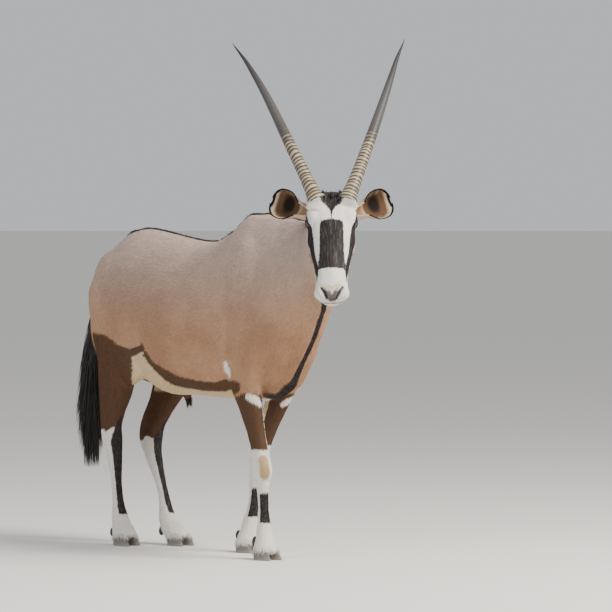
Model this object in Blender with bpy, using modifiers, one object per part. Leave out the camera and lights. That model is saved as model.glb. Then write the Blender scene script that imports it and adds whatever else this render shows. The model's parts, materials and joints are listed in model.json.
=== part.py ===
"""A life-size adult gemsbok, standing still with its head turned to its right.

Metres, +Z up. The animal faces +X, its left side is +Y, and the floor is z = 0.
The flesh is lofted and fused as one body, relaxed, and then parted with thin cuts, so that
each part meets its neighbour face to face. Horns, eyes, hooves, dewclaws and ears are solids
of their own.
"""

import math
import random

import bmesh
import bpy
from mathutils import Matrix, Vector
from mathutils.bvhtree import BVHTree

GAP = 0.0003  # between nodes that touch
SEED = 7

# Driving sizes of the animal.
HORN_LENGTH = 0.824
HORN_BASE_RADIUS = 0.0228
HORN_RINGS = 16
EYE_RADIUS = 0.0205
EAR_LENGTH = 0.165
EAR_WALL = 0.005
TUFT_TIP_HEIGHT = 0.265

# Sections of the trunk along X: x, widest level, half width, height above it, depth below it.
TRUNK = (
    (-0.612, 0.918, 0.036, 0.060, 0.070),
    (-0.586, 0.908, 0.082, 0.124, 0.142),
    (-0.532, 0.895, 0.130, 0.180, 0.208),
    (-0.445, 0.880, 0.172, 0.242, 0.250),
    (-0.335, 0.860, 0.196, 0.296, 0.262),
    (-0.200, 0.820, 0.208, 0.322, 0.243),
    (-0.070, 0.800, 0.222, 0.320, 0.240),
    (0.060, 0.795, 0.224, 0.314, 0.243),
    (0.170, 0.800, 0.208, 0.335, 0.250),
    (0.260, 0.810, 0.184, 0.390, 0.256),
    (0.350, 0.820, 0.164, 0.400, 0.256),
    (0.430, 0.815, 0.148, 0.340, 0.225),
    (0.495, 0.800, 0.118, 0.260, 0.150),
    (0.530, 0.790, 0.070, 0.180, 0.080),
)
# The neck: crest point, throat point and half width of each section, from the chest forward.
NECK = (
    ((0.240, 0.000, 1.172), (0.400, 0.000, 0.570), 0.150),
    ((0.370, 0.000, 1.219), (0.500, 0.000, 0.655), 0.140),
    ((0.490, -0.004, 1.205), (0.572, -0.002, 0.752), 0.118),
    ((0.600, -0.026, 1.193), (0.630, -0.012, 0.850), 0.097),
    ((0.685, -0.062, 1.196), (0.690, -0.040, 0.935), 0.083),
    ((0.755, -0.100, 1.220), (0.745, -0.075, 1.010), 0.073),
)
# The head in its own frame, x to the nose and z to the forehead: x, level, half width, above, below.
SKULL = (
    (-0.055, -0.075, 0.045, 0.040, 0.050),
    (-0.020, -0.065, 0.062, 0.056, 0.085),
    (0.020, -0.060, 0.076, 0.058, 0.110),
    (0.060, -0.056, 0.081, 0.058, 0.127),
    (0.100, -0.058, 0.080, 0.061, 0.130),
    (0.140, -0.062, 0.077, 0.063, 0.122),
    (0.175, -0.064, 0.073, 0.062, 0.108),
    (0.210, -0.064, 0.067, 0.059, 0.092),
    (0.245, -0.062, 0.061, 0.055, 0.077),
    (0.280, -0.060, 0.055, 0.051, 0.065),
    (0.310, -0.060, 0.053, 0.049, 0.058),
    (0.338, -0.062, 0.055, 0.047, 0.047),
    (0.362, -0.064, 0.058, 0.043, 0.042),
    (0.382, -0.067, 0.053, 0.035, 0.034),
    (0.394, -0.070, 0.040, 0.023, 0.028),
    (0.399, -0.072, 0.020, 0.010, 0.012),
)
POLL = Vector((0.8054, -0.101, 1.262))
HEAD_YAW = math.radians(-40)
HEAD_PITCH = math.radians(53)

# Legs from the body down: x, y, z, half width, reach to the front, reach to the back.
FORELEG_RIGHT = (
    (0.350, -0.105, 0.900, 0.050, 0.085, 0.110),
    (0.355, -0.122, 0.760, 0.058, 0.095, 0.115),
    (0.365, -0.124, 0.650, 0.050, 0.066, 0.085),
    (0.385, -0.112, 0.540, 0.040, 0.046, 0.056),
    (0.400, -0.098, 0.440, 0.031, 0.035, 0.040),
    (0.410, -0.089, 0.370, 0.032, 0.034, 0.034),
    (0.413, -0.085, 0.320, 0.035, 0.041, 0.033),
    (0.413, -0.082, 0.270, 0.024, 0.025, 0.028),
    (0.415, -0.080, 0.200, 0.019, 0.019, 0.023),
    (0.419, -0.079, 0.145, 0.022, 0.020, 0.026),
    (0.420, -0.079, 0.110, 0.028, 0.026, 0.033),
    (0.424, -0.079, 0.075, 0.029, 0.027, 0.030),
    (0.426, -0.079, 0.045, 0.035, 0.033, 0.034),
    (0.428, -0.079, 0.015, 0.037, 0.038, 0.036),
)
FORELEG_LEFT = (
    (0.345, 0.105, 0.900, 0.050, 0.085, 0.110),
    (0.335, 0.122, 0.760, 0.058, 0.095, 0.115),
    (0.300, 0.124, 0.645, 0.050, 0.066, 0.085),
    (0.258, 0.112, 0.535, 0.040, 0.046, 0.056),
    (0.219, 0.098, 0.435, 0.031, 0.035, 0.040),
    (0.196, 0.090, 0.367, 0.032, 0.032, 0.034),
    (0.184, 0.086, 0.318, 0.034, 0.036, 0.032),
    (0.176, 0.083, 0.268, 0.024, 0.025, 0.028),
    (0.168, 0.080, 0.198, 0.019, 0.019, 0.023),
    (0.160, 0.078, 0.143, 0.022, 0.020, 0.026),
    (0.150, 0.077, 0.108, 0.028, 0.026, 0.033),
    (0.146, 0.075, 0.075, 0.029, 0.027, 0.030),
    (0.143, 0.073, 0.045, 0.035, 0.033, 0.034),
    (0.143, 0.073, 0.015, 0.037, 0.038, 0.036),
)
HINDLEG_RIGHT = (
    (-0.385, -0.090, 0.960, 0.065, 0.120, 0.110),
    (-0.385, -0.122, 0.820, 0.070, 0.150, 0.112),
    (-0.362, -0.134, 0.690, 0.061, 0.122, 0.082),
    (-0.360, -0.134, 0.590, 0.050, 0.088, 0.086),
    (-0.390, -0.122, 0.505, 0.036, 0.058, 0.074),
    (-0.413, -0.110, 0.440, 0.031, 0.043, 0.064),
    (-0.422, -0.102, 0.385, 0.034, 0.044, 0.050),
    (-0.418, -0.096, 0.325, 0.027, 0.032, 0.036),
    (-0.413, -0.090, 0.225, 0.020, 0.020, 0.025),
    (-0.410, -0.084, 0.150, 0.022, 0.021, 0.027),
    (-0.406, -0.081, 0.113, 0.029, 0.027, 0.036),
    (-0.396, -0.078, 0.075, 0.029, 0.027, 0.038),
    (-0.387, -0.076, 0.045, 0.035, 0.033, 0.040),
    (-0.382, -0.075, 0.015, 0.037, 0.038, 0.036),
)
HINDLEG_LEFT = (
    (-0.385, 0.090, 0.960, 0.065, 0.120, 0.110),
    (-0.385, 0.122, 0.820, 0.070, 0.150, 0.112),
    (-0.368, 0.134, 0.690, 0.061, 0.122, 0.096),
    (-0.382, 0.134, 0.590, 0.050, 0.090, 0.090),
    (-0.412, 0.122, 0.505, 0.036, 0.058, 0.078),
    (-0.438, 0.110, 0.435, 0.031, 0.043, 0.084),
    (-0.446, 0.102, 0.385, 0.034, 0.044, 0.074),
    (-0.432, 0.097, 0.325, 0.027, 0.034, 0.046),
    (-0.382, 0.090, 0.221, 0.020, 0.020, 0.025),
    (-0.350, 0.084, 0.152, 0.022, 0.021, 0.027),
    (-0.336, 0.081, 0.110, 0.029, 0.027, 0.035),
    (-0.310, 0.078, 0.072, 0.029, 0.028, 0.036),
    (-0.279, 0.076, 0.047, 0.035, 0.034, 0.036),
    (-0.256, 0.075, 0.015, 0.037, 0.038, 0.036),
)
# The tail's fleshy dock: x, y, z, radius.
DOCK = (
    (-0.540, 0.000, 1.045, 0.040),
    (-0.590, -0.002, 1.020, 0.033),
    (-0.628, -0.008, 0.950, 0.025),
    (-0.645, -0.012, 0.870, 0.020),
    (-0.652, -0.014, 0.780, 0.017),
    (-0.655, -0.015, 0.700, 0.015),
)
# Muscles under the skin: centre, radii, pitch in degrees. Each is mirrored to the other side.
MUSCLES = (
    ((0.320, 0.100, 0.930), (0.105, 0.062, 0.200), 12),  # shoulder blade
    ((0.235, 0.125, 0.730), (0.105, 0.060, 0.115), 0),  # triceps
    ((0.415, 0.050, 0.690), (0.072, 0.062, 0.092), 0),  # breast
    ((-0.385, 0.085, 0.960), (0.150, 0.085, 0.125), 0),  # croup
    ((-0.395, 0.120, 0.800), (0.120, 0.060, 0.170), -8),  # thigh
    ((-0.285, 0.140, 0.700), (0.090, 0.050, 0.120), -30),  # stifle
    ((-0.060, 0.060, 0.750), (0.260, 0.135, 0.195), 0),  # barrel
)

LEGS = {
    "foreleg_right": FORELEG_RIGHT,
    "foreleg_left": FORELEG_LEFT,
    "hindleg_right": HINDLEG_RIGHT,
    "hindleg_left": HINDLEG_LEFT,
}
BODY_VOXEL = 0.0065
SOFT_ABOVE = 0.60
SOFT_BEHIND = 0.62
SOFT_BAND = 0.08
TRUNK_EASING = 60
BODY_TRIANGLES = 4600
HEAD_VOXEL = 0.0028
HEAD_TRIANGLES = 2250
SKULL_ROWS_BEHIND_CUT = 6  # sections of the skull that the body's fuse takes in
NECK_ROWS_BEHIND_CUT = 3  # the first section of the neck that the head's fuse takes in

# Forms on the skull, in the head's frame: centre, radii, pitch. Mirrored unless on the midline.
HEAD_BULGES = (
    ((0.072, 0.058, -0.028), (0.040, 0.026, 0.027), 0),  # brow
    ((0.125, 0.062, -0.090), (0.052, 0.020, 0.052), 20),  # cheek
    ((-0.006, 0.053, -0.018), (0.036, 0.033, 0.033), 0),  # below the horn
    ((0.220, 0.000, -0.018), (0.120, 0.028, 0.014), -1),  # bridge of the nose
    ((0.368, 0.024, -0.048), (0.024, 0.020, 0.020), 0),  # nostril's rim
    ((0.345, 0.000, -0.101), (0.034, 0.028, 0.012), 10),  # chin
)
EYE_PLACE = (0.080, 0.0660, -0.038)
EYE_LOOK = (0.16, 0.93, 0.22)
EYE_SLANT = -0.16
LID_THICKNESS = 0.0030
LID_OPENING = (0.0185, 0.0105, 0.0085)  # half length, and heights above and below
LID_CORNERS = 12
EYE_FACETS = (14, 9)
# Each nostril's comma, in the head's frame: place on the muzzle and radius of the cut.
NOSTRILS = (
    ((0.353, 0.037, -0.033), 0.0022),
    ((0.362, 0.034, -0.031), 0.0042),
    ((0.372, 0.029, -0.032), 0.0056),
    ((0.381, 0.022, -0.038), 0.0066),
    ((0.387, 0.016, -0.045), 0.0040),
)
MOUTH_CORNER = (0.320, -0.084)
MOUTH_FRONT = (0.396, -0.064)
MOUTH_RADIUS = 0.0026
MOUTH_STEPS = 18

EAR_ROOT = (0.034, 0.070, -0.050)
EAR_AXIS = (-0.53, 0.82, -0.22)
EAR_OPENING = (0.55, 0.0, 0.83)
EAR_COLUMNS = 8
# The ear from root to tip: share of its length, half width round its roll, roll.
EAR_ROWS = (
    (0.00, 0.066, 2.75),
    (0.16, 0.065, 2.50),
    (0.33, 0.061, 2.20),
    (0.42, 0.071, 1.85),
    (0.52, 0.076, 1.58),
    (0.66, 0.073, 1.40),
    (0.82, 0.064, 1.25),
    (0.93, 0.048, 1.10),
    (1.00, 0.029, 0.95),
    (1.03, 0.010, 0.85),
)

HORN_ROOT = (0.000, 0.0550, -0.012)
HORN_DIRECTION = {1: (-0.73, 0.186, -0.087), -1: (-0.73, -0.290, -0.080)}
HORN_RINGED = 0.42  # share of the length that has rings
HORN_RING_HEIGHT = 0.0022
HORN_BOW = {1: -0.007, -1: 0.014}  # how far a horn's middle lies inward of its chord
HORN_FLARE = (0.0055, 0.04)  # how much its foot widens, and over what share of its length
HORN_TIP_RADIUS = 0.0016

# A claw from the floor up: height, reach to the toe, reach to the heel, width.
CLAW_ROWS = (
    (0.000, 0.055, 0.037, 0.0375),
    (0.008, 0.053, 0.038, 0.0380),
    (0.024, 0.040, 0.036, 0.0360),
    (0.060, 0.012, 0.032, 0.0300),
)
CLAW_SIDES = 12
CLAW_OFFSET = 0.0190
CLAW_SPLAY = 0.10
CORONET_HEIGHT = 0.031
CORONET_TILT = math.radians(-12)
# The middle between each foot's two dewclaws, at the back of its pastern.
DEWCLAW_MIDDLES = {
    "foreleg_right": (0.387, -0.079, 0.066),
    "foreleg_left": (0.106, 0.075, 0.063),
    "hindleg_right": (-0.433, -0.077, 0.050),
    "hindleg_left": (-0.343, 0.078, 0.052),
}
DEWCLAW_APART = 0.0135
DEWCLAW_RADII = (0.012, 0.0085, 0.015)
FOOT_CENTRES = {
    "foreleg_right": (0.426, -0.079),
    "foreleg_left": (0.141, 0.073),
    "hindleg_right": (-0.384, -0.075),
    "hindleg_left": (-0.258, 0.075),
}
LOCK_PROFILE = (0.55, 2.2, 0.03)
DOCK_CUT = 0.775  # where the dock ends and the tuft's core goes on
TUFT_TOP = (-0.652, -0.014, DOCK_CUT - GAP)
TUFT_LOW = (-0.660, -0.018, TUFT_TIP_HEIGHT)
TUFT_SWAY = -0.012
TUFT_ROOT = 0.013  # how far from its middle a lock is rooted
TUFT_LOCK = (0.0150, 0.0060)  # half width and half depth
# The core's radius at shares of the tuft's length.
TUFT_CORE = ((0.00, 0.017), (0.10, 0.024), (0.26, 0.030), (0.42, 0.028), (0.56, 0.014))
# Rows of locks: share of the length at the root, number, share of length, spread at the tip.
TUFT_TIERS = (
    (0.05, 7, 0.36, 0.036),
    (0.18, 8, 0.44, 0.050),
    (0.32, 8, 0.50, 0.058),
    (0.45, 7, 0.52, 0.050),
    (0.54, 5, 0.46, 0.024),
)
SHEATH_TOP = (-0.120, 0.000, 0.572)
SHEATH_TIP = (-0.104, 0.000, 0.528)
SHEATH_LOCKS = 4
MANE_LOCKS = 24
MANE_LENGTH = 0.036
MANE_LOCK = (0.0090, 0.0035)

# Cuts between nodes: centre, normal, radius.
NECK_TORSO_CUT = ((0.440, 0.000, 0.945), (0.957, 0.000, 0.289), 0.400)
NECK_HEAD_CUT = ((0.722, -0.070, 1.110), (0.845, -0.473, -0.171), 0.230)
BODY_CUTS = (
    NECK_TORSO_CUT,
    NECK_HEAD_CUT,
    ((0.387, -0.110, 0.527), (0.10, 0.00, 1.00), 0.085),
    ((0.253, 0.110, 0.527), (-0.30, 0.00, 1.00), 0.085),
    ((-0.372, -0.128, 0.548), (0.00, 0.00, 1.00), 0.105),
    ((-0.397, 0.128, 0.548), (0.00, 0.00, 1.00), 0.105),
    ((0.412, -0.086, 0.330), (0.00, 0.00, 1.00), 0.080),
    ((0.187, 0.087, 0.330), (-0.20, 0.00, 1.00), 0.080),
    ((-0.421, -0.103, 0.395), (0.00, 0.00, 1.00), 0.095),
    ((-0.445, 0.103, 0.395), (0.20, 0.00, 1.00), 0.095),
)
BODY_ANCHORS = {
    "torso": (-0.05, 0.00, 0.83),
    "neck": (0.58, -0.01, 1.00),
    "foreleg_right_upper": (0.40, -0.10, 0.43),
    "foreleg_right_lower": (0.42, -0.08, 0.19),
    "foreleg_left_upper": (0.22, 0.10, 0.43),
    "foreleg_left_lower": (0.17, 0.08, 0.19),
    "hindleg_right_upper": (-0.39, -0.12, 0.47),
    "hindleg_right_lower": (-0.41, -0.09, 0.22),
    "hindleg_left_upper": (-0.42, 0.12, 0.47),
    "hindleg_left_lower": (-0.37, 0.09, 0.22),
}
HEAD_ANCHOR = (0.86, -0.16, 1.15)

COAT = (0.42, 0.30, 0.22)
DARK = (0.020, 0.017, 0.016)
LEG = (0.090, 0.055, 0.040)
FACE = (0.72, 0.68, 0.62)
HORN = (0.20, 0.17, 0.13)
HOOF = (0.10, 0.09, 0.085)
EYE = (0.02, 0.012, 0.01)


def clear_scene():
    for obj in list(bpy.data.objects):
        bpy.data.objects.remove(obj, do_unlink=True)


def collection(name):
    made = bpy.data.collections.new(name)
    bpy.context.scene.collection.children.link(made)
    return made


def material(name, colour, roughness, metallic=0.0):
    made = bpy.data.materials.new(name)
    made.use_nodes = True
    shader = made.node_tree.nodes["Principled BSDF"]
    shader.inputs["Base Color"].default_value = (*colour, 1.0)
    shader.inputs["Roughness"].default_value = roughness
    shader.inputs["Metallic"].default_value = metallic
    return made


def obj_of(name, mesh, group):
    made = bpy.data.objects.new(name, mesh)
    group.objects.link(made)
    return made


def settle(obj):
    """Applies the object's modifiers and its place, so that its mesh is what shows."""
    bpy.context.view_layer.update()
    graph = bpy.context.evaluated_depsgraph_get()
    mesh = bpy.data.meshes.new_from_object(obj.evaluated_get(graph))
    mesh.transform(obj.matrix_world)
    obj.modifiers.clear()
    obj.data = mesh
    obj.matrix_world = Matrix.Identity(4)
    return obj


def smooth_rows(rows, steps):
    """Rows of numbers with more rows between them, on a Catmull-Rom curve through them."""
    made = []
    for i in range(len(rows) - 1):
        before = rows[max(i - 1, 0)]
        after = rows[min(i + 2, len(rows) - 1)]
        for step in range(steps):
            t = step / steps
            made.append(
                tuple(
                    0.5
                    * (
                        2 * b
                        + (c - a) * t
                        + (2 * a - 5 * b + 4 * c - d) * t**2
                        + (3 * b - a - 3 * c + d) * t**3
                    )
                    for a, b, c, d in zip(before, rows[i], rows[i + 1], after)
                )
            )
    made.append(tuple(rows[-1]))
    return made


def egg_ring(centre, side, up, width, above, below, powers, count):
    """One closed section: width to each side, and two unlike heights above and below."""
    ring = []
    for step in range(count):
        turn = math.tau * step / count
        c = math.cos(turn)
        s = math.sin(turn)
        power = 2 / (powers[0] if s >= 0 else powers[1])
        height = above if s >= 0 else below
        across = width * math.copysign(abs(c) ** power, c)
        rise = height * math.copysign(abs(s) ** power, s)
        ring.append(centre + side * across + up * rise)
    return ring


def loft(name, rings, group):
    """A closed skin over sections that all have the same number of points."""
    mesh = bmesh.new()
    loops = [[mesh.verts.new(point) for point in ring] for ring in rings]
    count = len(rings[0])
    for low, high in zip(loops, loops[1:]):
        for i in range(count):
            j = (i + 1) % count
            mesh.faces.new((low[i], low[j], high[j], high[i]))
    mesh.faces.new(list(reversed(loops[0])))
    mesh.faces.new(loops[-1])
    bmesh.ops.recalc_face_normals(mesh, faces=mesh.faces)
    data = bpy.data.meshes.new(name)
    mesh.to_mesh(data)
    mesh.free()
    return obj_of(name, data, group)


def ball(name, centre, radii, turn, group, segments=24, rings=14):
    """An ellipsoid at a place, turned by a matrix."""
    mesh = bmesh.new()
    size = Matrix.Diagonal((*radii, 1.0))
    place = Matrix.Translation(centre) @ turn.to_4x4() @ size
    bmesh.ops.create_uvsphere(
        mesh, u_segments=segments, v_segments=rings, radius=1.0, matrix=place
    )
    data = bpy.data.meshes.new(name)
    mesh.to_mesh(data)
    mesh.free()
    return obj_of(name, data, group)


def modifier(obj, kind, **settings):
    made = obj.modifiers.new(kind.title(), kind)
    for key, value in settings.items():
        setattr(made, key, value)
    return made


def joined(name, pieces, group):
    """One object that holds the meshes of several, which are removed."""
    mesh = bmesh.new()
    for piece in pieces:
        part = piece.data.copy()
        part.transform(piece.matrix_world)
        mesh.from_mesh(part)
        bpy.data.objects.remove(piece)
    data = bpy.data.meshes.new(name)
    mesh.to_mesh(data)
    mesh.free()
    return obj_of(name, data, group)


def fused(name, pieces, voxel, relax, group):
    """Overlapping closed pieces grown together into one relaxed surface."""
    made = joined(name, pieces, group)
    modifier(made, "REMESH", mode="VOXEL", voxel_size=voxel, adaptivity=0.0)
    modifier(made, "SMOOTH", factor=0.5, iterations=relax)
    return settle(made)


def eased(obj, weight, turns):
    """Relaxes a surface further where a function of place gives it weight."""
    soft = obj.vertex_groups.new(name="soft")
    for vert in obj.data.vertices:
        soft.add([vert.index], weight(vert.co), "REPLACE")
    modifier(obj, "SMOOTH", factor=0.5, iterations=turns, vertex_group="soft")
    return settle(obj)


def trunk_weight(place):
    """One on the trunk and the neck's root, none on the legs and the head."""
    rise = (place.z - SOFT_ABOVE) / SOFT_BAND
    ahead = (SOFT_BEHIND - place.x) / SOFT_BAND
    return max(0.0, min(1.0, rise, ahead))


def thinned(obj, triangles):
    """The same shape with about this many triangles."""
    obj.data.calc_loop_triangles()
    ratio = triangles / len(obj.data.loop_triangles)
    modifier(obj, "DECIMATE", ratio=ratio, use_collapse_triangulate=True)
    return settle(obj)


def boolean(obj, others, operation, group):
    """Joins or cuts with several closed meshes at once, which are then removed."""
    tools = collection("tools_of_" + obj.name)
    for other in others:
        for owner in list(other.users_collection):
            owner.objects.unlink(other)
        tools.objects.link(other)
    modifier(
        obj,
        "BOOLEAN",
        operation=operation,
        operand_type="COLLECTION",
        collection=tools,
        solver="MANIFOLD",
    )
    settle(obj)
    for other in others:
        bpy.data.objects.remove(other)
    bpy.data.collections.remove(tools)
    return obj


def islands(mesh):
    """The connected groups of faces of a bmesh."""
    left = set(mesh.faces)
    found = []
    while left:
        seed = min(left, key=lambda face: face.index)
        group = {seed}
        front = [seed]
        while front:
            face = front.pop()
            for edge in face.edges:
                for near in edge.link_faces:
                    if near not in group:
                        group.add(near)
                        front.append(near)
        left -= group
        found.append(group)
    return found


def centre_of(faces):
    area = sum(face.calc_area() for face in faces)
    middle = Vector((0, 0, 0))
    for face in faces:
        middle += face.calc_center_median() * face.calc_area()
    return middle / area, area


def parted(obj, anchors, group):
    """Splits a cut body into its separate pieces: for each name, the largest one near its anchor."""
    whole = bmesh.new()
    whole.from_mesh(obj.data)
    whole.faces.index_update()
    pieces = [(faces, *centre_of(faces)) for faces in islands(whole)]
    made = {}
    for name, anchor in anchors.items():
        near = min(
            (piece for piece in pieces if piece[2] > 0.004),
            key=lambda piece: (piece[1] - Vector(anchor)).length,
        )
        kept = {face.index for face in near[0]}
        part = bmesh.new()
        part.from_mesh(obj.data)
        part.faces.index_update()
        spare = [face for face in part.faces if face.index not in kept]
        bmesh.ops.delete(part, geom=spare, context="FACES")
        data = bpy.data.meshes.new(name)
        part.to_mesh(data)
        part.free()
        made[name] = obj_of(name, data, group)
    whole.free()
    bpy.data.objects.remove(obj)
    return made


def largest(obj):
    """Keeps only the largest closed surface, and so drops loose scraps."""
    mesh = bmesh.new()
    mesh.from_mesh(obj.data)
    mesh.faces.index_update()
    groups = sorted(islands(mesh), key=lambda faces: centre_of(faces)[1])
    for group in groups[:-1]:
        bmesh.ops.delete(mesh, geom=list(group), context="FACES")
    loose = [vert for vert in mesh.verts if not vert.link_faces]
    bmesh.ops.delete(mesh, geom=loose, context="VERTS")
    mesh.to_mesh(obj.data)
    mesh.free()
    return obj


def slab(centre, normal, radius, group, thickness=GAP):
    """A thin round cutter across a part."""
    mesh = bmesh.new()
    turn = Vector(normal).to_track_quat("Z", "Y").to_matrix().to_4x4()
    bmesh.ops.create_cone(
        mesh,
        cap_ends=True,
        segments=32,
        radius1=radius,
        radius2=radius,
        depth=thickness,
        matrix=Matrix.Translation(centre) @ turn,
    )
    data = bpy.data.meshes.new("slab")
    mesh.to_mesh(data)
    mesh.free()
    return obj_of("slab", data, group)


def head_matrix():
    """From the head's own frame to the world: it nods down and turns to the right."""
    turn = Matrix.Rotation(HEAD_YAW, 4, "Z") @ Matrix.Rotation(HEAD_PITCH, 4, "Y")
    return Matrix.Translation(POLL) @ turn


def trunk_piece(group):
    rings = []
    for x, level, width, above, below in smooth_rows(TRUNK, 3):
        centre = Vector((x, 0, level))
        side = Vector((0, 1, 0))
        up = Vector((0, 0, 1))
        rings.append(egg_ring(centre, side, up, width, above, below, (1.85, 2.1), 40))
    return loft("trunk", rings, group)


def neck_piece(group, first=0):
    """The neck's loft, from one of its sections on."""
    rows = [(*crest, *throat, width) for crest, throat, width in NECK[first:]]
    rings = []
    for row in smooth_rows(rows, 4):
        crest = Vector(row[:3])
        throat = Vector(row[3:6])
        up = (crest - throat).normalized()
        ahead = Vector((1, -0.45 * (crest.x - NECK[0][0][0]), 0))
        side = up.cross(ahead).normalized()
        centre = throat.lerp(crest, 0.46)
        above = (crest - centre).length
        below = (centre - throat).length
        rings.append(egg_ring(centre, side, up, row[6], above, below, (1.8, 1.9), 32))
    return loft("neck_form", rings, group)


def skull_piece(group, last=len(SKULL)):
    """The skull's loft, up to one of its sections."""
    place = head_matrix()
    rings = []
    for x, level, width, above, below in smooth_rows(SKULL[:last], 3):
        ring = egg_ring(
            Vector((x, 0, level)),
            Vector((0, 1, 0)),
            Vector((0, 0, 1)),
            width,
            above,
            below,
            (2.5, 1.8),
            36,
        )
        rings.append([place @ point for point in ring])
    return loft("skull", rings, group)


def leg_piece(name, rows, group):
    """A leg's loft. Its sections stay square to the leg's line."""
    fine = smooth_rows(rows, 3)
    rings = []
    for i, (x, y, z, width, front, back) in enumerate(fine):
        before = Vector(fine[max(i - 1, 0)][:3])
        after = Vector(fine[min(i + 1, len(fine) - 1)][:3])
        down = (after - before).normalized()
        ahead = Vector((1, 0, 0))
        ahead = (ahead - down * ahead.dot(down)).normalized()
        side = ahead.cross(down).normalized()
        centre = Vector((x, y, z))
        rings.append(egg_ring(centre, side, ahead, width, front, back, (2.1, 2.0), 24))
    return loft(name, rings, group)


def dock_piece(group):
    fine = smooth_rows(DOCK, 2)
    rings = []
    for i, (x, y, z, radius) in enumerate(fine):
        before = Vector(fine[max(i - 1, 0)][:3])
        after = Vector(fine[min(i + 1, len(fine) - 1)][:3])
        down = (after - before).normalized()
        side = Vector((0, 1, 0))
        ahead = side.cross(down).normalized()
        rings.append(
            egg_ring(Vector((x, y, z)), side, ahead, radius, radius, radius, (2, 2), 10)
        )
    return loft("dock", rings, group)


def muscle_pieces(group):
    made = []
    for centre, radii, pitch in MUSCLES:
        for side in (1, -1):
            place = Vector((centre[0], centre[1] * side, centre[2]))
            turn = Matrix.Rotation(math.radians(pitch), 3, "Y")
            made.append(ball("muscle", place, radii, turn, group))
    return made


def body_form(group):
    """The trunk, neck and legs with the back of the head, fused and thinned."""
    pieces = [trunk_piece(group), neck_piece(group), skull_piece(group, SKULL_ROWS_BEHIND_CUT)]
    for rows in LEGS.values():
        pieces.append(leg_piece("leg", rows, group))
    pieces.extend(muscle_pieces(group))
    body = fused("body", pieces, BODY_VOXEL, 10, group)
    eased(body, trunk_weight, TRUNK_EASING)
    return thinned(body, BODY_TRIANGLES)


def head_form(group):
    """The head with the front of the neck, fused finer and thinned."""
    place = head_matrix()
    turn = place.to_3x3()
    pieces = [skull_piece(group), neck_piece(group, NECK_ROWS_BEHIND_CUT)]
    for centre, radii, pitch in HEAD_BULGES:
        for side in (1, -1) if centre[1] else (1,):
            at = place @ Vector((centre[0], centre[1] * side, centre[2]))
            lean = turn @ Matrix.Rotation(math.radians(pitch), 3, "Y")
            pieces.append(ball("bulge", at, radii, lean, group))
    head = fused("head_form", pieces, HEAD_VOXEL, 8, group)
    return thinned(head, HEAD_TRIANGLES)


def eye_places():
    """For each eye: its name's side, its centre, and the way it looks."""
    place = head_matrix()
    turn = place.to_3x3()
    for name, side in (("left", 1), ("right", -1)):
        centre = place @ Vector((EYE_PLACE[0], EYE_PLACE[1] * side, EYE_PLACE[2]))
        look = turn @ Vector((EYE_LOOK[0], EYE_LOOK[1] * side, EYE_LOOK[2])).normalized()
        along = turn @ Vector((1, 0, EYE_SLANT)).normalized()
        along = (along - look * along.dot(look)).normalized()
        yield name, centre, look, along


def almond(centre, look, along, group):
    """The cutter for the opening between the lids."""
    across = look.cross(along).normalized()
    if across.z < 0:
        across = -across
    points = []
    for step in range(LID_CORNERS):
        turn = math.tau * step / LID_CORNERS
        c = math.cos(turn)
        s = math.sin(turn)
        height = LID_OPENING[1] if s > 0 else LID_OPENING[2]
        reach = math.copysign(abs(c) ** 1.0, c) * LID_OPENING[0]
        points.append(along * reach + across * height * math.copysign(abs(s) ** 1.25, s))
    inner = [centre + point + look * EYE_RADIUS * 0.35 for point in points]
    outer = [centre + point * 1.1 + look * EYE_RADIUS * 2.0 for point in points]
    return loft("lid_opening", [inner, outer], group)


def with_eyelids(head, group):
    """Raises the lids round each eye, then cuts the socket and the opening."""
    upright = Matrix.Identity(3)
    lids = []
    for _, centre, look, _ in eye_places():
        turn = look.to_track_quat("Z", "Y").to_matrix()
        radius = EYE_RADIUS + LID_THICKNESS
        lids.append(ball("lid", centre, (radius,) * 3, turn, group, 16, 10))
    boolean(head, lids, "UNION", group)
    cutters = []
    for _, centre, look, along in eye_places():
        radius = EYE_RADIUS + GAP
        socket = ball("socket", centre, (radius,) * 3, upright, group, *EYE_FACETS)
        opening = almond(centre, look, along, group)
        boolean(socket, [opening], "UNION", group)
        cutters.append(socket)
    return boolean(head, cutters, "DIFFERENCE", group)


def with_nostrils(head, group):
    """Cuts a comma-shaped nostril on each side, along points laid on the muzzle."""
    place = head_matrix()
    skin = BVHTree.FromObject(head, bpy.context.evaluated_depsgraph_get())
    cutters = []
    for side in (1, -1):
        line = []
        for centre, _ in NOSTRILS:
            at = place @ Vector((centre[0], centre[1] * side, centre[2]))
            line.append(skin.find_nearest(at)[0])
        radii = [radius for _, radius in NOSTRILS]
        cutters.append(tube("nostril", line, radii, 6, group))
    return boolean(head, cutters, "DIFFERENCE", group)


def tube(name, points, radii, sides, group):
    """A closed round tube along points, with a radius at each."""
    rings = []
    side = None
    for i, point in enumerate(points):
        before = points[max(i - 1, 0)]
        after = points[min(i + 1, len(points) - 1)]
        along = (after - before).normalized()
        if side is None:
            side = along.orthogonal().normalized()
        side = (side - along * side.dot(along)).normalized()
        up = along.cross(side)
        radius = radii[i]
        rings.append(egg_ring(point, side, up, radius, radius, radius, (2, 2), sides))
    return loft(name, rings, group)


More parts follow.
